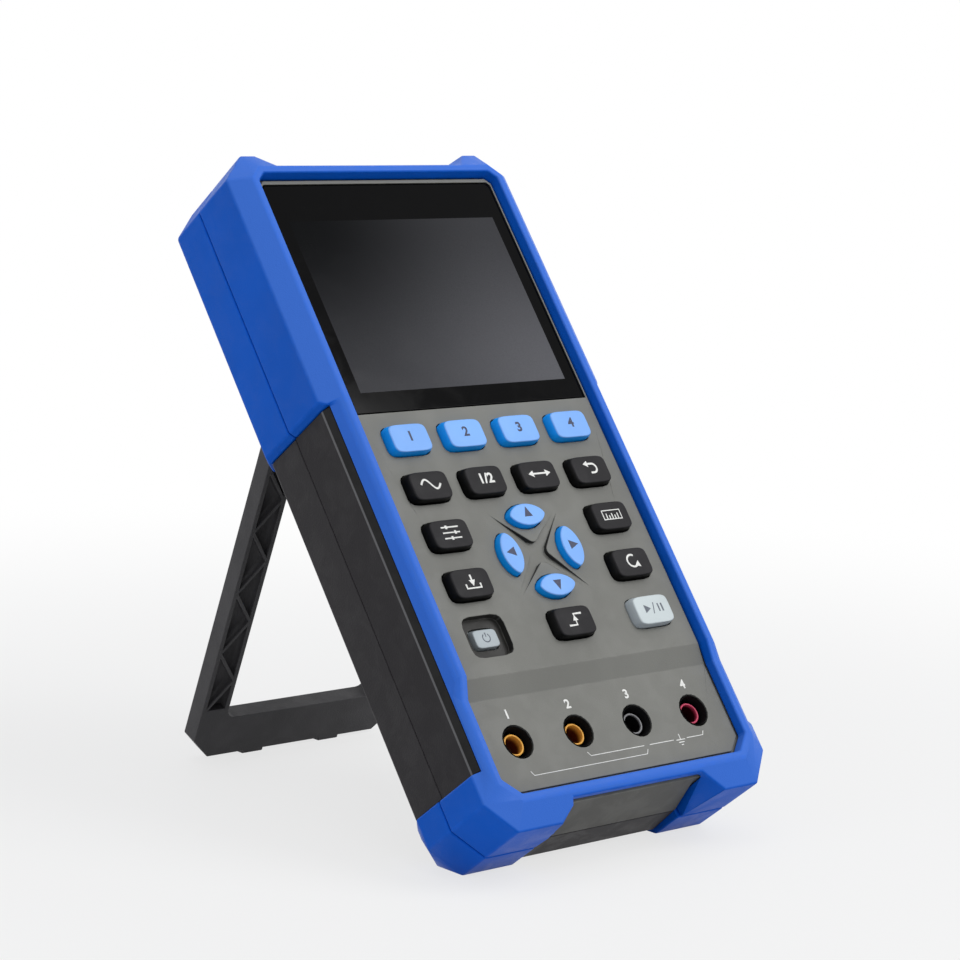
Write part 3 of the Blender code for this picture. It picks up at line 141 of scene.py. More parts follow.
def sums(tree, operation, first, second=0.5, third=0.5):
    """Value output of a Math node."""
    return add(tree, "ShaderNodeMath", {0: first, 1: second, 2: third}, operation=operation).outputs[0]


def fitted(tree, value, low, high, out_low, out_high):
    """A value's range mapped smoothly to another."""
    return add(tree, "ShaderNodeMapRange", {
        "Value": value, "From Min": low, "From Max": high, "To Min": out_low, "To Max": out_high,
    }, interpolation_type="SMOOTHSTEP").outputs[0]


def new_group(name, inputs, outputs):
    """An empty shader node group with the named sockets."""
    group = bpy.data.node_groups.new(name, "ShaderNodeTree")
    for label, kind, value in inputs:
        socket = group.interface.new_socket(label, in_out="INPUT", socket_type=kind)
        socket.default_value = value
    for label, kind in outputs:
        group.interface.new_socket(label, in_out="OUTPUT", socket_type=kind)
    return group, group.nodes.new("NodeGroupInput"), group.nodes.new("NodeGroupOutput")


def moulded_grain_group():
    """Spark-eroded mould texture: a fine height, a slow tone drift and a gloss drift."""
    tree, put, out = new_group(
        "moulded_grain",
        [("Grain", "NodeSocketFloat", 2600.0), ("Drift", "NodeSocketFloat", 45.0)],
        [("Height", "NodeSocketFloat"), ("Tone", "NodeSocketFloat"), ("Gloss", "NodeSocketFloat")],
    )
    place = add(tree, "ShaderNodeTexCoord").outputs["Object"]
    fine = add(tree, "ShaderNodeTexNoise", {
        "Vector": place, "Scale": put.outputs["Grain"], "Detail": 2.0, "Roughness": 0.55})
    pits = add(tree, "ShaderNodeTexVoronoi", {"Vector": place, "Scale": put.outputs["Grain"]})
    height = sums(tree, "ADD", fine.outputs["Fac"], sums(tree, "MULTIPLY", pits.outputs["Distance"], 0.45))
    slow = add(tree, "ShaderNodeTexNoise", {
        "Vector": place, "Scale": put.outputs["Drift"], "Detail": 3.0, "Roughness": 0.5})
    hands = add(tree, "ShaderNodeTexNoise", {
        "Vector": place, "Scale": sums(tree, "MULTIPLY", put.outputs["Drift"], 3.1),
        "Detail": 4.0, "Roughness": 0.6, "Distortion": 0.6})
    tree.links.new(height, out.inputs["Height"])
    tree.links.new(fitted(tree, slow.outputs["Fac"], 0.3, 0.7, 0.0, 1.0), out.inputs["Tone"])
    tree.links.new(fitted(tree, hands.outputs["Fac"], 0.35, 0.7, 0.0, 1.0), out.inputs["Gloss"])
    return tree


def rubbed_edge_group():
    """Mask of bevelled edges that handling has polished, broken up by noise."""
    tree, put, out = new_group(
        "rubbed_edge",
        [("Break Up", "NodeSocketFloat", 320.0), ("Amount", "NodeSocketFloat", 0.5)],
        [("Rub", "NodeSocketFloat")],
    )
    place = add(tree, "ShaderNodeTexCoord").outputs["Object"]
    edge = add(tree, "ShaderNodeAttribute", attribute_name="edge_rub").outputs["Fac"]
    patch = add(tree, "ShaderNodeTexNoise", {
        "Vector": place, "Scale": put.outputs["Break Up"], "Detail": 3.0, "Roughness": 0.6})
    broken = fitted(tree, patch.outputs["Fac"], 0.38, 0.66, 0.15, 1.0)
    rub = sums(tree, "MULTIPLY", sums(tree, "MULTIPLY", edge, broken), put.outputs["Amount"])
    tree.links.new(rub, out.inputs["Rub"])
    return tree


def brushed_group():
    """Fine lines turned or drawn into metal, along the tool's height."""
    tree, put, out = new_group(
        "drawn_metal",
        [("Lines", "NodeSocketFloat", 900.0)],
        [("Height", "NodeSocketFloat"), ("Tone", "NodeSocketFloat")],
    )
    place = add(tree, "ShaderNodeTexCoord").outputs["Object"]
    along = add(tree, "ShaderNodeMapping", {
        "Vector": place, "Rotation": (LEAN, 0, 0), "Scale": (1, 1, 6)})
    lines = add(tree, "ShaderNodeTexNoise", {
        "Vector": along.outputs[0], "Scale": put.outputs["Lines"], "Detail": 3.0})
    slow = add(tree, "ShaderNodeTexNoise", {"Vector": place, "Scale": 160.0, "Detail": 2.0})
    tree.links.new(lines.outputs["Fac"], out.inputs["Height"])
    tree.links.new(fitted(tree, slow.outputs["Fac"], 0.3, 0.7, 0.0, 1.0), out.inputs["Tone"])
    return tree


MOULDED_GRAIN = moulded_grain_group()
RUBBED_EDGE = rubbed_edge_group()
DRAWN_METAL = brushed_group()


def new_material(name):
    """A material with its node tree and its shader."""
    material = bpy.data.materials.new(name)
    material.use_nodes = True
    tree = material.node_tree
    return material, tree, tree.nodes["Principled BSDF"]


def use_group(tree, group, inputs):
    """Adds a node group with values on its sockets."""
    made = tree.nodes.new("ShaderNodeGroup")
    made.node_tree = group
    for key, value in inputs.items():
        made.inputs[key].default_value = value
    return made


def upright_place(tree):
    """Object coordinates turned back to the tool's upright frame, in metres."""
    place = add(tree, "ShaderNodeTexCoord").outputs["Object"]
    shift = UPRIGHT @ Vector((0, 0, 0)) * MM
    mapping = add(tree, "ShaderNodeMapping", {
        "Vector": place, "Location": shift, "Rotation": (LEAN, 0, 0)})
    return add(tree, "ShaderNodeSeparateXYZ", {"Vector": mapping.outputs[0]}).outputs


def plastic(name, colour, rough, grain=2600.0, relief=0.05, drift=0.10, rub=0.35, shine=0.5,
            bands=(), painted_light=None):
    """Moulded plastic or rubber: grain, tone drift, handled gloss and polished edges.

    Painted light and shade: listed colours take over between two depths, and one more colour goes on faces marked
    in the mesh.
    """
    material, tree, shader = new_material(name)
    grained = use_group(tree, MOULDED_GRAIN, {"Grain": grain})
    edge = use_group(tree, RUBBED_EDGE, {"Amount": rub})
    dark = tuple(c * (1 - drift) for c in colour[:3]) + (1,)
    light = tuple(min(1, c * (1 + drift)) for c in colour[:3]) + (1,)
    worn = tuple(min(1, c * 1.35 + 0.02) for c in colour[:3]) + (1,)
    tone = mixed(tree, grained.outputs["Tone"], dark, light)
    # Painted light and shade, by depth and on marked faces.
    for band, from_y, to_y in bands:
        share = fitted(tree, upright_place(tree)["Y"], from_y * MM, to_y * MM, 0.0, 1.0)
        tone = mixed(tree, share, tone, band)
    if painted_light:
        marked = add(tree, "ShaderNodeAttribute", attribute_name="painted_light").outputs["Fac"]
        tone = mixed(tree, marked, tone, painted_light)
    tree.links.new(mixed(tree, edge.outputs["Rub"], tone, worn), shader.inputs["Base Color"])
    gloss = fitted(tree, grained.outputs["Gloss"], 0, 1, rough + 0.05, rough - 0.06)
    polished = sums(tree, "MULTIPLY_ADD", edge.outputs["Rub"], -0.12, gloss)
    tree.links.new(polished, shader.inputs["Roughness"])
    shader.inputs["Specular IOR Level"].default_value = shine
    bump = add(tree, "ShaderNodeBump", {
        "Strength": 1.0, "Distance": relief * MM, "Height": grained.outputs["Height"]})
    tree.links.new(bump.outputs[0], shader.inputs["Normal"])
    return material


def tube_plastic(name, lip, inside, reach):
    """Insulating tube of a jack: a bright lip, and an inside painted dark with depth as painted shade in the well.
    """
    return plastic(name, lip, 0.36, 2600, 0.02, 0.06, 0.2, 0.35,
                   [(inside, TUBE_FRONT + 0.15, TUBE_FRONT + reach)])


def key_plastic(name, face, skirt, shine=0.25, top=KEY_TOP):
    """Finish of a key whose face lies at the given level: the face is painted lighter than the skirt, as painted
    light on the top and painted shade on the sides.
    """
    return plastic(name, face, 0.44, 4200, 0.02, 0.05, 0.1, shine, [(skirt, top + 0.15, top + 0.5)])


def metal(name, colour, rough):
    """Drawn or plated metal: fine lines, and a tone and gloss that drift."""
    material, tree, shader = new_material(name)
    drawn = use_group(tree, DRAWN_METAL, {})
    dull = tuple(c * 0.82 for c in colour[:3]) + (1,)
    tree.links.new(mixed(tree, drawn.outputs["Tone"], dull, colour), shader.inputs["Base Color"])
    tree.links.new(fitted(tree, drawn.outputs["Tone"], 0, 1, rough + 0.08, rough - 0.04),
                   shader.inputs["Roughness"])
    shader.inputs["Metallic"].default_value = 1.0
    bump = add(tree, "ShaderNodeBump", {
        "Strength": 0.5, "Distance": 0.01 * MM, "Height": drawn.outputs["Height"]})
    tree.links.new(bump.outputs[0], shader.inputs["Normal"])
    return material


def window_glass():
    """Glossy window: black printed border round a dark screen with a painted reflection, and faint smears."""
    material, tree, shader = new_material("window_glass")
    at = upright_place(tree)
    wide = sums(tree, "SUBTRACT", sums(tree, "ABSOLUTE", at["X"]), SCREEN_HALF * MM)
    tall = sums(tree, "ABSOLUTE", sums(tree, "SUBTRACT", at["Z"], SCREEN_Z * MM))
    tall = sums(tree, "SUBTRACT", tall, SCREEN_TALL * MM)
    blur = 0.08 * MM
    border = fitted(tree, sums(tree, "MAXIMUM", wide, tall), -blur, blur, 0.0, 1.0)
    # The screen carries a painted reflection, dark at the top left and lighter towards the bottom right.
    across = fitted(tree, at["X"], -SCREEN_HALF * MM, SCREEN_HALF * MM, 0.0, 0.5)
    down = fitted(tree, at["Z"], (SCREEN_Z + SCREEN_TALL) * MM, (SCREEN_Z - SCREEN_TALL) * MM, 0.0, 0.5)
    painted_reflection = sums(tree, "POWER", sums(tree, "ADD", across, down), 1.35)
    panel = mixed(tree, painted_reflection, srgb(2, 3, 5), srgb(96, 96, 100))
    rows = add(tree, "ShaderNodeTexNoise", {
        "Vector": add(tree, "ShaderNodeTexCoord").outputs["Object"], "Scale": 5000.0, "Detail": 0.0})
    panel = mixed(tree, fitted(tree, rows.outputs["Fac"], 0.3, 0.7, 0.0, 0.14), panel, srgb(20, 22, 26))
    tree.links.new(mixed(tree, border, panel, srgb(3, 3, 4)), shader.inputs["Base Color"])
    smear = use_group(tree, MOULDED_GRAIN, {"Grain": 900.0, "Drift": 30.0})
    tree.links.new(fitted(tree, smear.outputs["Gloss"], 0, 1, 0.06, 0.12), shader.inputs["Roughness"])
    shader.inputs["Specular IOR Level"].default_value = 0.05
    return material


def ink(name, colour):
    """Screen print: slightly uneven ink, matt."""
    material, tree, shader = new_material(name)
    grained = use_group(tree, MOULDED_GRAIN, {"Grain": 7000.0, "Drift": 900.0})
    thin = tuple(c * 0.86 for c in colour[:3]) + (1,)
    tree.links.new(mixed(tree, grained.outputs["Tone"], thin, colour), shader.inputs["Base Color"])
    tree.links.new(fitted(tree, grained.outputs["Gloss"], 0, 1, 0.55, 0.45), shader.inputs["Roughness"])
    return material


def circuit_board():
    """Solder mask with traces that show through it."""
    material, tree, shader = new_material("circuit_board")
    at = add(tree, "ShaderNodeTexCoord").outputs["Object"]
    traces = add(tree, "ShaderNodeTexBrick", {
        "Vector": at, "Color1": srgb(22, 92, 52), "Color2": srgb(18, 80, 46), "Mortar": srgb(46, 128, 72),
        "Scale": 260.0, "Mortar Size": 0.03, "Brick Width": 0.9, "Row Height": 0.3})
    tree.links.new(traces.outputs["Color"], shader.inputs["Base Color"])
    grained = use_group(tree, MOULDED_GRAIN, {"Grain": 1800.0})
    tree.links.new(fitted(tree, grained.outputs["Gloss"], 0, 1, 0.42, 0.3), shader.inputs["Roughness"])
    return material


# Blue keys: the face painted paler than the skirt, as painted light on the top.
KEY_BLUE, KEY_BLUE_SKIRT = srgb(130, 181, 252), srgb(0, 156, 255)
MATERIALS = {
    # Blue: faces towards the front and top take a paler painted sheen.
    "bumper_blue": plastic("blue_overmould", srgb(0, 92, 206), 0.45, 3000, 0.035, 0.05, 0.2, 0.12,
                           painted_light=srgb(60, 113, 213)),
    # Gray panel: faces in its hollows and on the chin take a dark painted shade.
    "panel_gray": plastic("gray_panel", srgb(118, 118, 113), 0.5, 3600, 0.03, 0.05, 0.2, 0.25,
                          painted_light=srgb(40, 39, 37)),
    "case_dark": plastic("dark_shell", srgb(34, 32, 35), 0.56, 2200, 0.05, 0.05, 0.35, 0.25),
    "black_plastic": plastic("black_moulding", srgb(15, 15, 16), 0.6, 2400, 0.045, 0.10, 0.05, 0.12),
    "window_black": window_glass(),
    # Keys: faces painted lighter than skirts, as painted light and shade.
    "key_light_blue": key_plastic("blue_key", KEY_BLUE, KEY_BLUE_SKIRT),
    "key_black": key_plastic("black_key", srgb(36, 35, 37), srgb(5, 5, 5), 0.1),
    "key_pale": key_plastic("pale_key", srgb(200, 209, 211), srgb(172, 180, 184)),
    # Tubes: insides painted darker with depth, as painted shade.
    "jack_amber": tube_plastic("amber_tube", srgb(255, 184, 78), srgb(92, 36, 3), 2.6),
    "jack_red": tube_plastic("red_tube", srgb(214, 72, 106), srgb(50, 3, 14), 1.4),
    "steel": metal("drawn_steel", srgb(176, 178, 182), 0.32),
    "nickel": metal("nickel_plate", srgb(200, 198, 190), 0.24),
    "board_green": circuit_board(),
    "silicone_gray": plastic("gray_silicone", srgb(120, 124, 128), 0.62, 1800, 0.04, 0.08, 0.0),
    "lcd_glass": plastic("screen_glass", srgb(26, 28, 32), 0.22, 4000, 0.005, 0.10, 0.0),
    "cell_sleeve": plastic("green_sleeve", srgb(40, 110, 70), 0.38, 1200, 0.02, 0.08, 0.0),
    "fuse_ceramic": plastic("pale_ceramic", srgb(226, 220, 206), 0.4, 2000, 0.02, 0.05, 0.0),
}
# Arrow and power keys: faces painted lighter than skirts, as painted light and shade.
KEY_FINISH = {
    "across": key_plastic("blue_arrow_key", KEY_BLUE, KEY_BLUE_SKIRT, top=ARROW_TOP),
    "power": key_plastic("power_key", srgb(172, 181, 185), srgb(158, 166, 170), top=POWER_TOP),
}
KEY_FINISH["upright"] = KEY_FINISH["across"]
# Common jack: a gray lip, and an inside painted near-black with depth as painted shade.
COMMON_TUBE = tube_plastic("black_tube", srgb(138, 138, 140), srgb(7, 7, 8), 0.8)
# Grip: front bevel painted near-black as painted shade below the rim, a painted highlight line along its edge,
# then its own dark colour.
GRIP_FINISH = plastic("grip_moulding", srgb(13, 13, 14), 0.56, 2200, 0.05, 0.05, 0.1, 0.2,
                      [(srgb(104, 104, 106), 3.35, 3.55), (srgb(34, 32, 35), 3.95, 4.2)])
STAND_FINISH = plastic("stand_moulding", srgb(66, 65, 67), 0.52, 2200, 0.05, 0.10, 0.35, 0.25)
WHITE_INK = ink("white_ink", srgb(236, 236, 232))
NAVY_INK = ink("navy_ink", srgb(22, 36, 74))
GRAY_INK = ink("gray_ink", srgb(84, 92, 104))
INK_ON = {
    "key_black": (WHITE_INK, "key_pale"),
    "key_pale": (GRAY_INK, "key_black"),
    "key_light_blue": (NAVY_INK, "key_black"),
}
PTFE = plastic("socket_insulator", srgb(232, 230, 222), 0.4, 1600, 0.01, 0.03, 0.0)


# Shape helpers.

def upright_box(node):
    """Lowest and highest corner of a CAD node in the upright frame, in millimetres."""
    points = [UPRIGHT @ v.co for v in frame["nodes"][node].data.vertices]
    return [Vector(tuple(f(p[i] for p in points) for i in range(3))) for f in (min, max)]


def settle(bm, name, material, body, stands_for=(), sharp=38):
    """Turns a bmesh in world metres into a piece that rides on a body."""
    for face in bm.faces:
        face.smooth = True
    mesh = bpy.data.meshes.new(name)
    bm.to_mesh(mesh)
    bm.free()
    mesh.materials.append(material)
    mesh.set_sharp_from_angle(angle=math.radians(sharp))
    obj = bpy.data.objects.new(name, mesh)
    bpy.context.scene.collection.objects.link(obj)
    if stands_for:
        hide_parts(*stands_for)
    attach(obj, body)
    return obj


def lean(bm):
    """Moves a bmesh from the upright frame to its place."""
    bmesh.ops.transform(bm, matrix=LEANED, verts=bm.verts)
    return bm


def panel_painted_shade(at, facing):
    """How far a face of the panel takes painted shade, from 0 to 1: walls of its hollows, the power key's recess
    and the chin.
    """
    if at.z < CHIN_TOP:
        return CHIN_PAINTED_SHADE
    by_power = abs(at.x - KEY_COLUMNS[0]) < POWER_RECESS_X and abs(at.z - KEY_ROWS[0]) < POWER_RECESS_Z
    is_wall = abs(facing.y) <= 0.7
    return float(HOLLOW_FRONT < at.y < HOLLOW_BACK and (is_wall or by_power))


def open_wells(bm):
    """Widens the mouths of the jack wells to a shallow funnel."""
    bmesh.ops.triangulate(bm, faces=bm.faces)
    for vert in bm.verts:
        at = UPRIGHT @ vert.co
        axis = Vector((min(JACK_X, key=lambda x: abs(x - at.x)), at.y, JACK_Z))
        if at.y < TUBE_FRONT and abs((at - axis).length - WELL_R) < 0.2:
            vert.co = LEANED @ (axis + (at - axis).normalized() * WELL_MOUTH_R)


def under_rim(at):
    """The narrow ledge of the rim above a grip, too thin to be rounded."""
    return LEDGE_X[0] < abs(at.x) < LEDGE_X[1] and LEDGE_Y[0] < at.y < LEDGE_Y[1]


def bumper_painted_sheen(at, facing):
    """How far a face of the bumper takes a paler painted sheen, from 0 to 1: most on the front and the top, where
    the light falls.
    """
    return min(1.0, max(0.0, (0.5 * facing.z - 0.8 * facing.y - 0.1) / 0.5))


def in_strip(edge, near):
    """True for a long edge that has another one close by across a face, too narrow to be rounded."""
    if edge.calc_length() < STRIP_EDGE * MM:
        return False
    ends = [v.co for v in edge.verts]
    for loop in edge.link_loops:
        inward = loop.face.normal.cross(loop.link_loop_next.vert.co - loop.vert.co).normalized()
        for other in loop.face.edges:
            if other is edge or other.calc_length() < STRIP_EDGE * MM:
                continue
            a, b = (v.co for v in other.verts)
            for share in (0.25, 0.5, 0.75):
                point = ends[0].lerp(ends[1], share)
                place = min(1.0, max(0.0, intersect_point_line(point, a, b)[1]))
                across = a.lerp(b, place) - point
                if 0 < across.length < near and across.dot(inward) > 0.6 * across.length:
                    return True
    return False


def on_seat(at):
    """The face of a rear bumper that lies on the rear case, where the edges stay square."""
    return abs(at.y - SEAT_Y) < SQUARE_REACH


def inside_top(at):
    """The inner face of the top wall, where the edges stay square."""
    return abs(at.z - TOP_INSIDE) < SQUARE_REACH


def dressed(node, width, finish=None, outer_only=False, painted_light_of=None, reshape=None, crisp=None,
            strips=True):
    """The CAD node's own shape with its moulded edges rounded by the given width in millimetres.

    Edges stay square where crisp says so, and, without strips, along narrow strips too.
    """
    bm = bmesh.new()
    bm.from_mesh(frame["nodes"][node].data)
    bmesh.ops.remove_doubles(bm, verts=bm.verts, dist=2e-6)
    bmesh.ops.dissolve_limit(
        bm, angle_limit=math.radians(FLAT_TURN), use_dissolve_boundaries=False,
        verts=bm.verts, edges=bm.edges, delimit=set())
    if reshape:
        reshape(bm)
    rub = bm.faces.layers.float.new("edge_rub")

    def moulded(edge):
        """Edges that turn clearly, and long ones that turn a little."""
        turn = math.degrees(edge.calc_face_angle(0))
        bent = turn > CLEAR_TURN or turn > SLIGHT_TURN and edge.calc_length() > LONG_EDGE * MM
        if crisp and crisp(UPRIGHT @ ((edge.verts[0].co + edge.verts[1].co) / 2)):
            return False
        wanted = edge.is_manifold and bent and (edge.is_convex or not outer_only)
        return wanted and (strips or not in_strip(edge, STRIP_ROOM * width * MM))

    if width:
        made = bmesh.ops.bevel(
            bm, geom=[e for e in bm.edges if moulded(e)], offset=width * MM, offset_type="OFFSET",
            affect="EDGES", segments=3, profile=0.5, material=-1, clamp_overlap=False, loop_slide=True)
        for face in made["faces"]:
            face[rub] = 1.0
    # Marked faces take painted light or shade in their material.
    if painted_light_of:
        painted_light = bm.faces.layers.float.new("painted_light")
        turn_back = UPRIGHT.to_quaternion()
        for face in bm.faces:
            face[painted_light] = painted_light_of(UPRIGHT @ face.calc_center_median(), turn_back @ face.normal)
    slot = SLOT_OF[node]
    obj = settle(bm, node + "_moulded", finish or MATERIALS[slot], BODY_OF[node], [node])
    weights = obj.modifiers.new("even_faces", "WEIGHTED_NORMAL")
    weights.keep_sharp = True


def ring_loft(bm, ring, levels):
    """Extrudes a ring of edges through (width scale, height scale, y) levels and closes both ends."""
    edges = list({e for v in ring for e in v.link_edges})
    bmesh.ops.edgeloop_fill(bm, edges=edges)
    wide, tall, depth = levels[0]
    for next_wide, next_tall, next_depth in levels[1:]:
        grown = bmesh.ops.extrude_edge_only(bm, edges=edges)["geom"]
        verts = [g for g in grown if isinstance(g, bmesh.types.BMVert)]
        edges = [g for g in grown if isinstance(g, bmesh.types.BMEdge)]
        bmesh.ops.scale(bm, vec=(next_wide / wide, 1, next_tall / tall), verts=verts)
        bmesh.ops.translate(bm, vec=(0, next_depth - depth, 0), verts=verts)
        wide, tall, depth = next_wide, next_tall, next_depth
    bmesh.ops.edgeloop_fill(bm, edges=edges)
    bmesh.ops.recalc_face_normals(bm, faces=bm.faces)


def soft_ring(bm, sides, leaf, upright):
    """A unit circle shaped to a barrelled rectangle, or to a leaf with soft points."""
    ring = bmesh.ops.create_circle(bm, segments=sides, radius=0.5)["verts"]
    for vert in ring:
        turn = math.atan2(vert.co.y, vert.co.x)
        c, s = math.cos(turn), math.sin(turn)
        if leaf:
            along, across = c / 2, s * abs(s) ** ARROW_POINT / 2
            x, z = (across, along) if upright else (along, across)
        else:
            x = math.copysign(abs(c) ** (2 / KEY_SQUARE), c) / 2
            z = math.copysign(abs(s) ** (2 / KEY_SQUARE), s) / 2
        vert.co = (x, 0, z)
    return ring


def key_cap(node, x, z, sort):
    """A key: stem and flange behind the panel, tapered skirt, rolled edge and a slightly crowned face."""
    width, height, top = {
        "plain": (KEY_W, KEY_H, KEY_TOP), "power": (POWER_W, POWER_H, POWER_TOP),
        "across": (ARROW_L, ARROW_S, ARROW_TOP), "upright": (ARROW_S, ARROW_L, ARROW_TOP),
    }[sort]
    side_in, end_in = (0.8, 0.25) if sort == "plain" else (0.3, 0.3)
    roll = 0.3 if sort in ("plain", "power") else 0.4
    crown = 0.06
    levels = [
        (STEM_W, STEM_W, STEM_BACK), (STEM_W, STEM_W, FLANGE_BACK),
        (width + 2 * FLANGE_OUT, height + 2 * FLANGE_OUT, FLANGE_BACK),
        (width + 2 * FLANGE_OUT, height + 2 * FLANGE_OUT, FLANGE_FRONT),
        (width, height, FLANGE_FRONT), (width, height, top + KEY_SHOULDER),
    ]
    for i in range(8):
        t = i / 7
        taper = 1 - (1 - t) ** 2 * roll / KEY_SHOULDER
        inset_x, inset_z = (2 * (taper * edge + t * t * roll) for edge in (side_in, end_in))
        levels.append((width - inset_x, height - inset_z, top + crown + (1 - t) ** 2 * roll))
    wide, tall, _ = levels[-1]
    for share in (0.86, 0.66, 0.42, 0.16):
        levels.append((wide * share, tall * share, top + crown * share * share))
    bm = bmesh.new()
    ring = soft_ring(bm, 64, sort in ("across", "upright"), sort == "upright")
    bmesh.ops.scale(bm, vec=(levels[0][0], 1, levels[0][1]), verts=ring)
    bmesh.ops.translate(bm, vec=(0, levels[0][2], 0), verts=ring)
    ring_loft(bm, ring, levels)
    for vert in bm.verts:
        vert.co.z -= FACE_DROP * max(0.0, 1 - (vert.co.y - top) / KEY_SHOULDER)
    bmesh.ops.translate(bm, vec=(x, 0, z), verts=bm.verts)
    slot = SLOT_OF[node]
    finish = KEY_FINISH.get(sort, MATERIALS[slot])
    return settle(lean(bm), node + "_cap", finish, BODY_OF[node], [node], 50)


def turned(bm, profile, centre, axis, steps=48):
    """Spins an open or closed (radius, height) profile round an axis through the centre."""
    up = Vector(axis)
    out = Vector((1, 0, 0))
    verts = [bm.verts.new(Vector(centre) + out * r + up * h) for r, h in profile]
    edges = [bm.edges.new(pair) for pair in zip(verts, verts[1:])]
    bmesh.ops.spin(
        bm, geom=verts + edges, cent=centre, axis=axis, angle=2 * math.pi, steps=steps, use_merge=True)
    bmesh.ops.remove_doubles(bm, verts=bm.verts, dist=1e-4)
    bmesh.ops.recalc_face_normals(bm, faces=bm.faces)


# Legends.

def stroke(points, width=0.5, cyclic=False):
    """A flat line of ink through (x, z) points, as a curve."""
    curve = bpy.data.curves.new("stroke", "CURVE")
    curve.dimensions = "3D"
    curve.bevel_depth = width / 2
    curve.bevel_resolution = 2
    curve.use_fill_caps = True
    spline = curve.splines.new("POLY")
    spline.points.add(len(points) - 1)
    for point, (x, z) in zip(spline.points, points):
        point.co = (x, z, 0, 1)
    spline.use_cyclic_u = cyclic
    return curve


def numeral(text, size):
    """Plain numbers, centred, as a curve."""
    curve = bpy.data.curves.new("numeral", "FONT")
    curve.body = text
    curve.size = size
    curve.align_x = "CENTER"
    curve.align_y = "CENTER"
    curve.extrude = 0.4
    curve.offset = 0.03 * size
    return curve


def arc(x, z, radius, start, end, steps=16):
    """Points on an arc, angles in degrees."""
    turns = [math.radians(start + (end - start) * i / steps) for i in range(steps + 1)]
    return [(x + radius * math.cos(t), z + radius * math.sin(t)) for t in turns]


def wedge(x, z, size, heading, slim=1.0):
    """A filled arrow head that points along a heading in degrees."""
    def build(bm):
        made = bmesh.ops.create_circle(bm, segments=3, radius=size, cap_ends=True)["verts"]
        start = math.atan2(made[0].co.y, made[0].co.x)
        bmesh.ops.rotate(bm, matrix=Matrix.Rotation(-start, 3, "Z"), verts=made)
        bmesh.ops.scale(bm, vec=(1, slim, 1), verts=made)
        bmesh.ops.rotate(bm, matrix=Matrix.Rotation(math.radians(heading), 3, "Z"), verts=made)
        bmesh.ops.translate(bm, vec=(x, z, 0), verts=made)
        faces = list({f for v in made for f in v.link_faces})
        thick = bmesh.ops.extrude_face_region(bm, geom=faces)["geom"]
        bmesh.ops.translate(
            bm, vec=(0, 0, 0.4), verts=[g for g in thick if isinstance(g, bmesh.types.BMVert)])
    return build


def printed(name, marks, ink_material, body, x, level, z, grow=1.0):
    """Prints marks, drawn on a flat x z sheet, on a face at the given upright y level."""
    bm = bmesh.new()
    for mark in marks:
        first = len(bm.verts)
        if callable(mark):
            mark(bm)
        else:
            helper = bpy.data.objects.new("mark", mark)
            bpy.context.scene.collection.objects.link(helper)
            bpy.context.view_layer.update()
            mesh = bpy.data.meshes.new_from_object(
                helper.evaluated_get(bpy.context.evaluated_depsgraph_get()))
            bm.from_mesh(mesh)
            bpy.data.objects.remove(helper)
            bpy.data.curves.remove(mark)
            bpy.data.meshes.remove(mesh)
        drawn = list(bm.verts)[first:]
        low, high = min(v.co.z for v in drawn), max(v.co.z for v in drawn)
        for vert in drawn:
            rise = (vert.co.z - low) / (high - low)
            vert.co = (vert.co.x, -rise * 2 * PRINT_T, vert.co.y)
    bmesh.ops.remove_doubles(bm, verts=bm.verts, dist=1e-4)
    bmesh.ops.scale(bm, vec=(grow, 1, grow), verts=bm.verts)
    bmesh.ops.translate(bm, vec=(x, level + PRINT_T, z), verts=bm.verts)
    bmesh.ops.recalc_face_normals(bm, faces=bm.faces)
    return settle(lean(bm), name, ink_material, body, sharp=30)


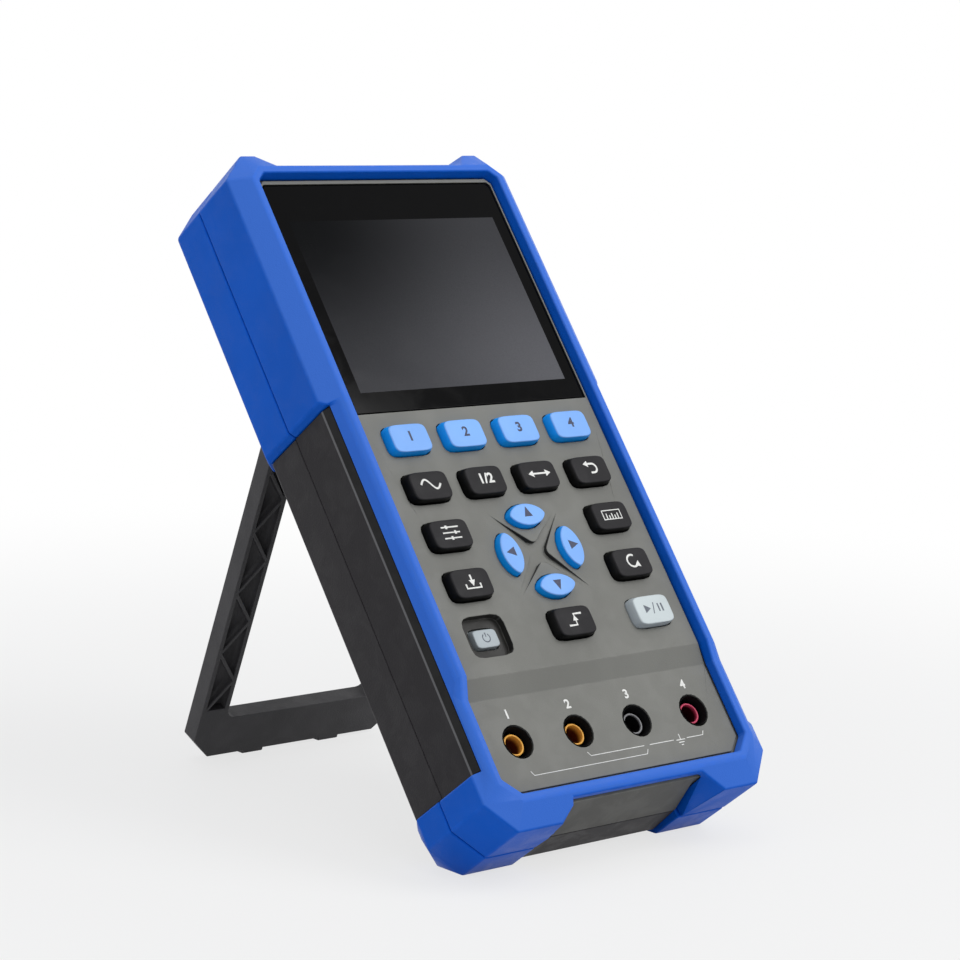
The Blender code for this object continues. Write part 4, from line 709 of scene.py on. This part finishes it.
def key_legends():
    """Generic signs: numbers, arrows, play and pause, power and simple figures."""
    wave = [(-2.6 + 5.2 * i / 24, 1.15 * math.sin(2 * math.pi * i / 24)) for i in range(25)]
    signs = {
        "key_mode": [stroke(wave)],
        "key_channel": [numeral("1/2", 3.3)],
        "key_horizontal": [stroke([(-1.9, 0), (1.9, 0)]), wedge(-2.2, 0, 0.95, 180), wedge(2.2, 0, 0.95, 0)],
        "key_back": [
            stroke([(-0.9, 1.1), (0.5, 1.1)] + arc(0.5, 0, 1.1, 90, -90)[1:] + [(-0.4, -1.1)], 0.55),
            wedge(-1.1, 1.1, 0.9, 180),
        ],
        "key_system": [
            stroke([(-2.3, h), (2.3, h)], 0.36) for h in (-1.3, 0, 1.3)
        ] + [stroke([(a, h - 0.42), (a, h + 0.42)], 0.6) for a, h in ((-0.9, 1.3), (1.1, 0), (-0.2, -1.3))],
        "key_save": [
            stroke([(-1.9, -0.5), (-1.9, -1.5), (1.9, -1.5), (1.9, -0.5)]),
            stroke([(0, 1.6), (0, 0.2)]), wedge(0, -0.1, 0.95, -90),
        ],
        "key_measure": [
            stroke([(-2.6, -1.2), (2.6, -1.2), (2.6, 1.0), (-2.6, 1.0)], 0.36, True),
        ] + [stroke([(a, -1.2), (a, -0.2 if i % 2 else 0.25)], 0.34)
             for i, a in enumerate((-1.6, -0.8, 0, 0.8, 1.6))],
        "key_auto": [stroke(arc(0, 0, 1.45, 60, 330)), wedge(1.2, -0.95, 0.95, 75)],
        "key_trigger": [stroke([(-2.2, -1.3), (0, -1.3), (0, 1.3), (2.2, 1.3)]), wedge(0, 0.15, 0.85, 90)],
        "key_run": [
            wedge(-2.0, 0, 1.15, 0), stroke([(-0.4, -1.3), (0.4, 1.3)], 0.3),
            stroke([(1.5, -0.95), (1.5, 0.95)], 0.5), stroke([(2.5, -0.95), (2.5, 0.95)], 0.5),
        ],
        "key_power": [stroke(arc(0, -0.1, 0.95, 125, 415, 20), 0.3), stroke([(0, 0.1), (0, 1.1)], 0.3)],
        "key_up": [wedge(0, 0, 1.6, 90, 0.8)],
        "key_down": [wedge(0, 0, 1.6, -90, 0.8)],
        "key_left": [wedge(0, 0, 1.6, 180, 0.8)],
        "key_right": [wedge(0, 0, 1.6, 0, 0.8)],
    }
    for i in range(4):
        signs[f"key_soft_{i + 1}"] = [numeral(str(i + 1), 3.2)]
    return signs


def make_keys():
    """All keys at their places, each with its sign."""
    left, inner_left, inner_right, right = KEY_COLUMNS
    low, save, system, mode, soft = KEY_ROWS
    places = {f"key_soft_{i + 1}": (x, soft, "plain") for i, x in enumerate(KEY_COLUMNS)}
    places.update({
        "key_mode": (left, mode, "plain"), "key_channel": (inner_left, mode, "plain"),
        "key_horizontal": (inner_right, mode, "plain"), "key_back": (right, mode, "plain"),
        "key_system": (left, system, "plain"), "key_measure": (right, system, "plain"),
        "key_save": (left, save, "plain"), "key_auto": (right, save, "plain"),
        "key_trigger": (0, low, "plain"), "key_run": (right, low, "plain"),
        "key_power": (left, low, "power"),
        "key_up": (0, PAD_Z + ARROW_OUT, "across"), "key_down": (0, PAD_Z - ARROW_OUT, "across"),
        "key_left": (-ARROW_OUT, PAD_Z, "upright"), "key_right": (ARROW_OUT, PAD_Z, "upright"),
    })
    signs = key_legends()
    for node, (x, z, sort) in places.items():
        cap = key_cap(node, x, z, sort)
        top = min((UPRIGHT @ v.co).y for v in cap.data.vertices)
        inked, slot = INK_ON[SLOT_OF[node]]
        printed(node + "_sign", signs[node], inked, BODY_OF[node], x, top + 0.02, z, SIGN_GROW)


def make_panel_print():
    """Numbers and range lines beside the jacks."""
    for i, x in enumerate(JACK_X):
        printed(f"jack_number_{i + 1}", [numeral(str(i + 1), 3.4)], WHITE_INK, "case",
                x, JACK_PANEL_Y, JACK_Z + 7.4)
    first, second, third, last = JACK_X
    low, high, earth = 13.3, 15.6, third + 11.4
    lines = [stroke(points, RANGE_LINE) for points in (
        [(first, low + 1.2), (first + 0.7, low), (8.6, low), (9.4, low + 1.2)],
        [(second - 0.2, high + 1.1), (second + 0.6, high), (third - 1.4, high)],
        [(third + 0.6, high), (third + 9.0, high)],
        [(last - 6.4, high), (last - 0.6, high), (last, high + 1.1)],
    )]
    lines += [stroke(points, EARTH_LINE) for points in (
        [(earth - 1.5, high - 0.2), (earth + 1.5, high - 0.2)],
        [(earth - 0.95, high - 0.9), (earth + 0.95, high - 0.9)],
        [(earth - 0.4, high - 1.6), (earth + 0.4, high - 1.6)],
        [(earth, high - 0.2), (earth, high + 1.4)],
    )]
    printed("range_lines", lines, WHITE_INK, "case", 0, JACK_PANEL_Y, 0)


# Sockets.

def make_jacks():
    """Turned insulating tubes with a rolled lip."""
    for kind, x in zip(("amps", "milliamps", "common", "volts"), JACK_X):
        node = "jack_tube_" + kind
        back = upright_box(node)[1].y
        outer, inner, lip = 2.95, 2.45, 0.2
        bm = bmesh.new()
        profile = [(inner, back), (inner, TUBE_FRONT + lip)]
        profile += [
            ((outer + inner) / 2 - math.cos(t) * (outer - inner) / 2, TUBE_FRONT + lip - math.sin(t) * lip)
            for t in (math.pi * i / 8 for i in range(1, 8))
        ]
        profile += [(outer, TUBE_FRONT + lip), (outer, back), (inner, back)]
        turned(bm, profile, (x, 0, JACK_Z), (0, 1, 0))
        slot = SLOT_OF[node]
        finish = COMMON_TUBE if kind == "common" else MATERIALS[slot]
        settle(lean(bm), node + "_turned", finish, BODY_OF[node], [node])


def make_round_sockets():
    """Barrel with bayonet lugs, a shoulder ring, a pale insulator and a centre contact."""
    for node in ("bnc_socket_left", "bnc_socket_right"):
        low, high = upright_box(node)
        x, y = (low.x + high.x) / 2, (low.y + high.y) / 2
        tip, bore, pin = high.z, 3.9, 0.9
        shoulder = low.z + 10.0
        bm = bmesh.new()
        profile = [
            (6.5, low.z), (6.5, shoulder - 0.2), (6.3, shoulder), (4.8, shoulder), (4.8, tip - 5.2),
            (4.65, tip - 5.0), (4.65, tip - 4.4), (4.8, tip - 4.2), (4.8, tip - 0.4), (4.7, tip - 0.12),
            (4.45, tip), (4.15, tip), (3.95, tip - 0.15), (bore, tip - 0.4), (bore, tip - 9.0),
            (pin, tip - 9.0), (pin, tip - 3.4), (pin * 0.8, tip - 3.1), (0.35, tip - 3.0), (0.35, tip - 6.0),
            (0.0, tip - 6.0),
        ]
        turned(bm, [(0.0, low.z)] + profile, (x, y, 0), (0, 0, 1), 64)
        for side in (-1, 1):
            lug = bmesh.ops.create_cone(
                bm, cap_ends=True, segments=24, radius1=0.9, radius2=0.9, depth=1.6)["verts"]
            top = [v for v in lug if v.co.z > 0]
            rim = [e for e in {e for v in top for e in v.link_edges} if all(v in top for v in e.verts)]
            bmesh.ops.bevel(bm, geom=rim, offset=0.2, offset_type="OFFSET", affect="EDGES", segments=3,
                            profile=0.5, material=-1)
            # The lug is still at the origin, far from the barrel.
            lug = [v for v in bm.verts if v.co.length < 2]
            bmesh.ops.rotate(bm, matrix=Matrix.Rotation(side * math.pi / 2, 3, "Y"), verts=lug)
            bmesh.ops.translate(bm, vec=(x + side * 5.1, y, tip - 3.0), verts=lug)
        settle(lean(bm), node + "_turned", MATERIALS["nickel"], "case", [node])
        bm = bmesh.new()
        turned(bm, [
            (1.0, tip - 8.9), (3.8, tip - 8.9), (3.8, tip - 5.2), (3.6, tip - 5.0), (1.2, tip - 5.0),
            (1.0, tip - 5.2), (1.0, tip - 8.9),
        ], (x, y, 0), (0, 0, 1), 48)
        settle(lean(bm), node + "_insulator", PTFE, "case")


# Studio.

def seen_ray(tree):
    """1 for rays by which the camera sees a surface, directly or through a gloss or a glass."""
    path = add(tree, "ShaderNodeLightPath").outputs
    return sums(tree, "MAXIMUM", path["Is Camera Ray"],
                sums(tree, "MAXIMUM", path["Is Glossy Ray"], path["Is Transmission Ray"]))


def make_world():
    """Soft light all round, seen as plain white."""
    world = bpy.data.worlds.new("studio")
    bpy.context.scene.world = world
    world.use_nodes = True
    tree = world.node_tree
    tree.nodes.clear()
    soft = add(tree, "ShaderNodeBackground", {"Color": (0.93, 0.96, 1.0, 1), "Strength": 0.42})
    white = add(tree, "ShaderNodeBackground", {"Color": (1, 1, 1, 1), "Strength": 1.0})
    mix = add(tree, "ShaderNodeMixShader", {0: seen_ray(tree), 1: soft.outputs[0], 2: white.outputs[0]})
    add(tree, "ShaderNodeOutputWorld", {"Surface": mix.outputs[0]})


def make_floor():
    """Pale floor that keeps the shadow and fades to white away from the tool."""
    material, tree, shader = new_material("pale_floor")
    shader.inputs["Roughness"].default_value = 0.7
    place = add(tree, "ShaderNodeTexCoord").outputs["Object"]
    mottle = add(tree, "ShaderNodeTexNoise", {"Vector": place, "Scale": 3.0})
    tree.links.new(mixed(tree, mottle.outputs["Fac"], srgb(204, 204, 204), srgb(210, 210, 210)),
                   shader.inputs["Base Color"])
    glow = add(tree, "ShaderNodeEmission", {"Color": (1, 1, 1, 1), "Strength": 1.0})
    reach = add(tree, "ShaderNodeVectorMath", {0: place}, operation="LENGTH").outputs["Value"]
    white = fitted(tree, reach, 0.12, 0.5, 0.72, 1.0)
    mix = add(tree, "ShaderNodeMixShader", {
        0: sums(tree, "MULTIPLY", seen_ray(tree), white), 1: shader.outputs[0], 2: glow.outputs[0]})
    tree.links.new(mix.outputs[0], tree.nodes["Material Output"].inputs["Surface"])
    bm = bmesh.new()
    bmesh.ops.create_circle(bm, cap_ends=True, segments=64, radius=6.0)
    mesh = bpy.data.meshes.new("floor")
    bm.to_mesh(mesh)
    bm.free()
    mesh.materials.append(material)
    floor = bpy.data.objects.new("floor", mesh)
    bpy.context.scene.collection.objects.link(floor)


def make_lamp(name, place, aim, size, power):
    """A round soft lamp that faces a point."""
    data = bpy.data.lights.new(name, "AREA")
    data.shape = "DISK"
    data.size = size
    data.energy = power
    lamp = bpy.data.objects.new(name, data)
    lamp.location = place
    lamp.rotation_euler = (Vector(aim) - Vector(place)).to_track_quat("-Z", "Y").to_euler()
    bpy.context.scene.collection.objects.link(lamp)


def make_camera():
    """Camera at the photograph's place."""
    data = bpy.data.cameras.new("camera")
    data.sensor_width = 36.0
    data.lens = data.sensor_width * FOCAL_PIXELS / PHOTO_WIDTH
    camera = bpy.data.objects.new("camera", data)
    tilt = LEANED.to_quaternion()
    ahead = (tilt @ CAMERA_AHEAD).normalized()
    up = (tilt @ CAMERA_RIGHT).cross(ahead).normalized()
    turn = Matrix((ahead.cross(up), up, -ahead)).transposed().to_4x4()
    camera.matrix_world = Matrix.Translation(LEANED @ CAMERA_AT) @ turn
    bpy.context.scene.collection.objects.link(camera)
    bpy.context.scene.camera = camera


# The object.

for name, node in frame["nodes"].items():
    node.data.materials.clear()
    node.data.materials.append(MATERIALS[SLOT_OF[name]])

EDGES = {
    "display_window": 0.22, "battery_door": 0.4, "usb_port": 0.08, "battery_screw": 0.12,
}
for name, width in EDGES.items():
    dressed(name, width)
# Bumper: front and top faces take a painted sheen. Panel: hollows and chin take painted shade.
dressed("front_bumper", 0.55, painted_light_of=bumper_painted_sheen, crisp=under_rim, strips=False)
dressed("front_case", 0.22, painted_light_of=panel_painted_shade, crisp=inside_top)
dressed("rear_case", 0.35, crisp=inside_top, strips=False)
dressed("rear_bumper_top", 0.5, crisp=on_seat, strips=False)
dressed("rear_bumper_bottom", 0.5, crisp=on_seat, strips=False)
dressed("jack_block", 0, reshape=open_wells)
dressed("grip_left", 0.13, GRIP_FINISH)
dressed("grip_right", 0.13, GRIP_FINISH)
dressed("kickstand", 0.25, STAND_FINISH, outer_only=True)
make_keys()
make_panel_print()
make_jacks()
make_round_sockets()

make_world()
make_floor()
make_lamp("front_right", (0.5, -0.65, 0.85), (0, 0, 0.06), 0.7, 6.2)
make_lamp("overhead", (-0.1, -0.2, 1.4), (0, 0, 0.08), 1.2, 4.0)
make_lamp("left_fill", (-1.2, 0.1, 0.5), (0, 0, 0.08), 0.9, 2.2)
make_camera()
bpy.context.scene.view_settings.view_transform = "Standard"
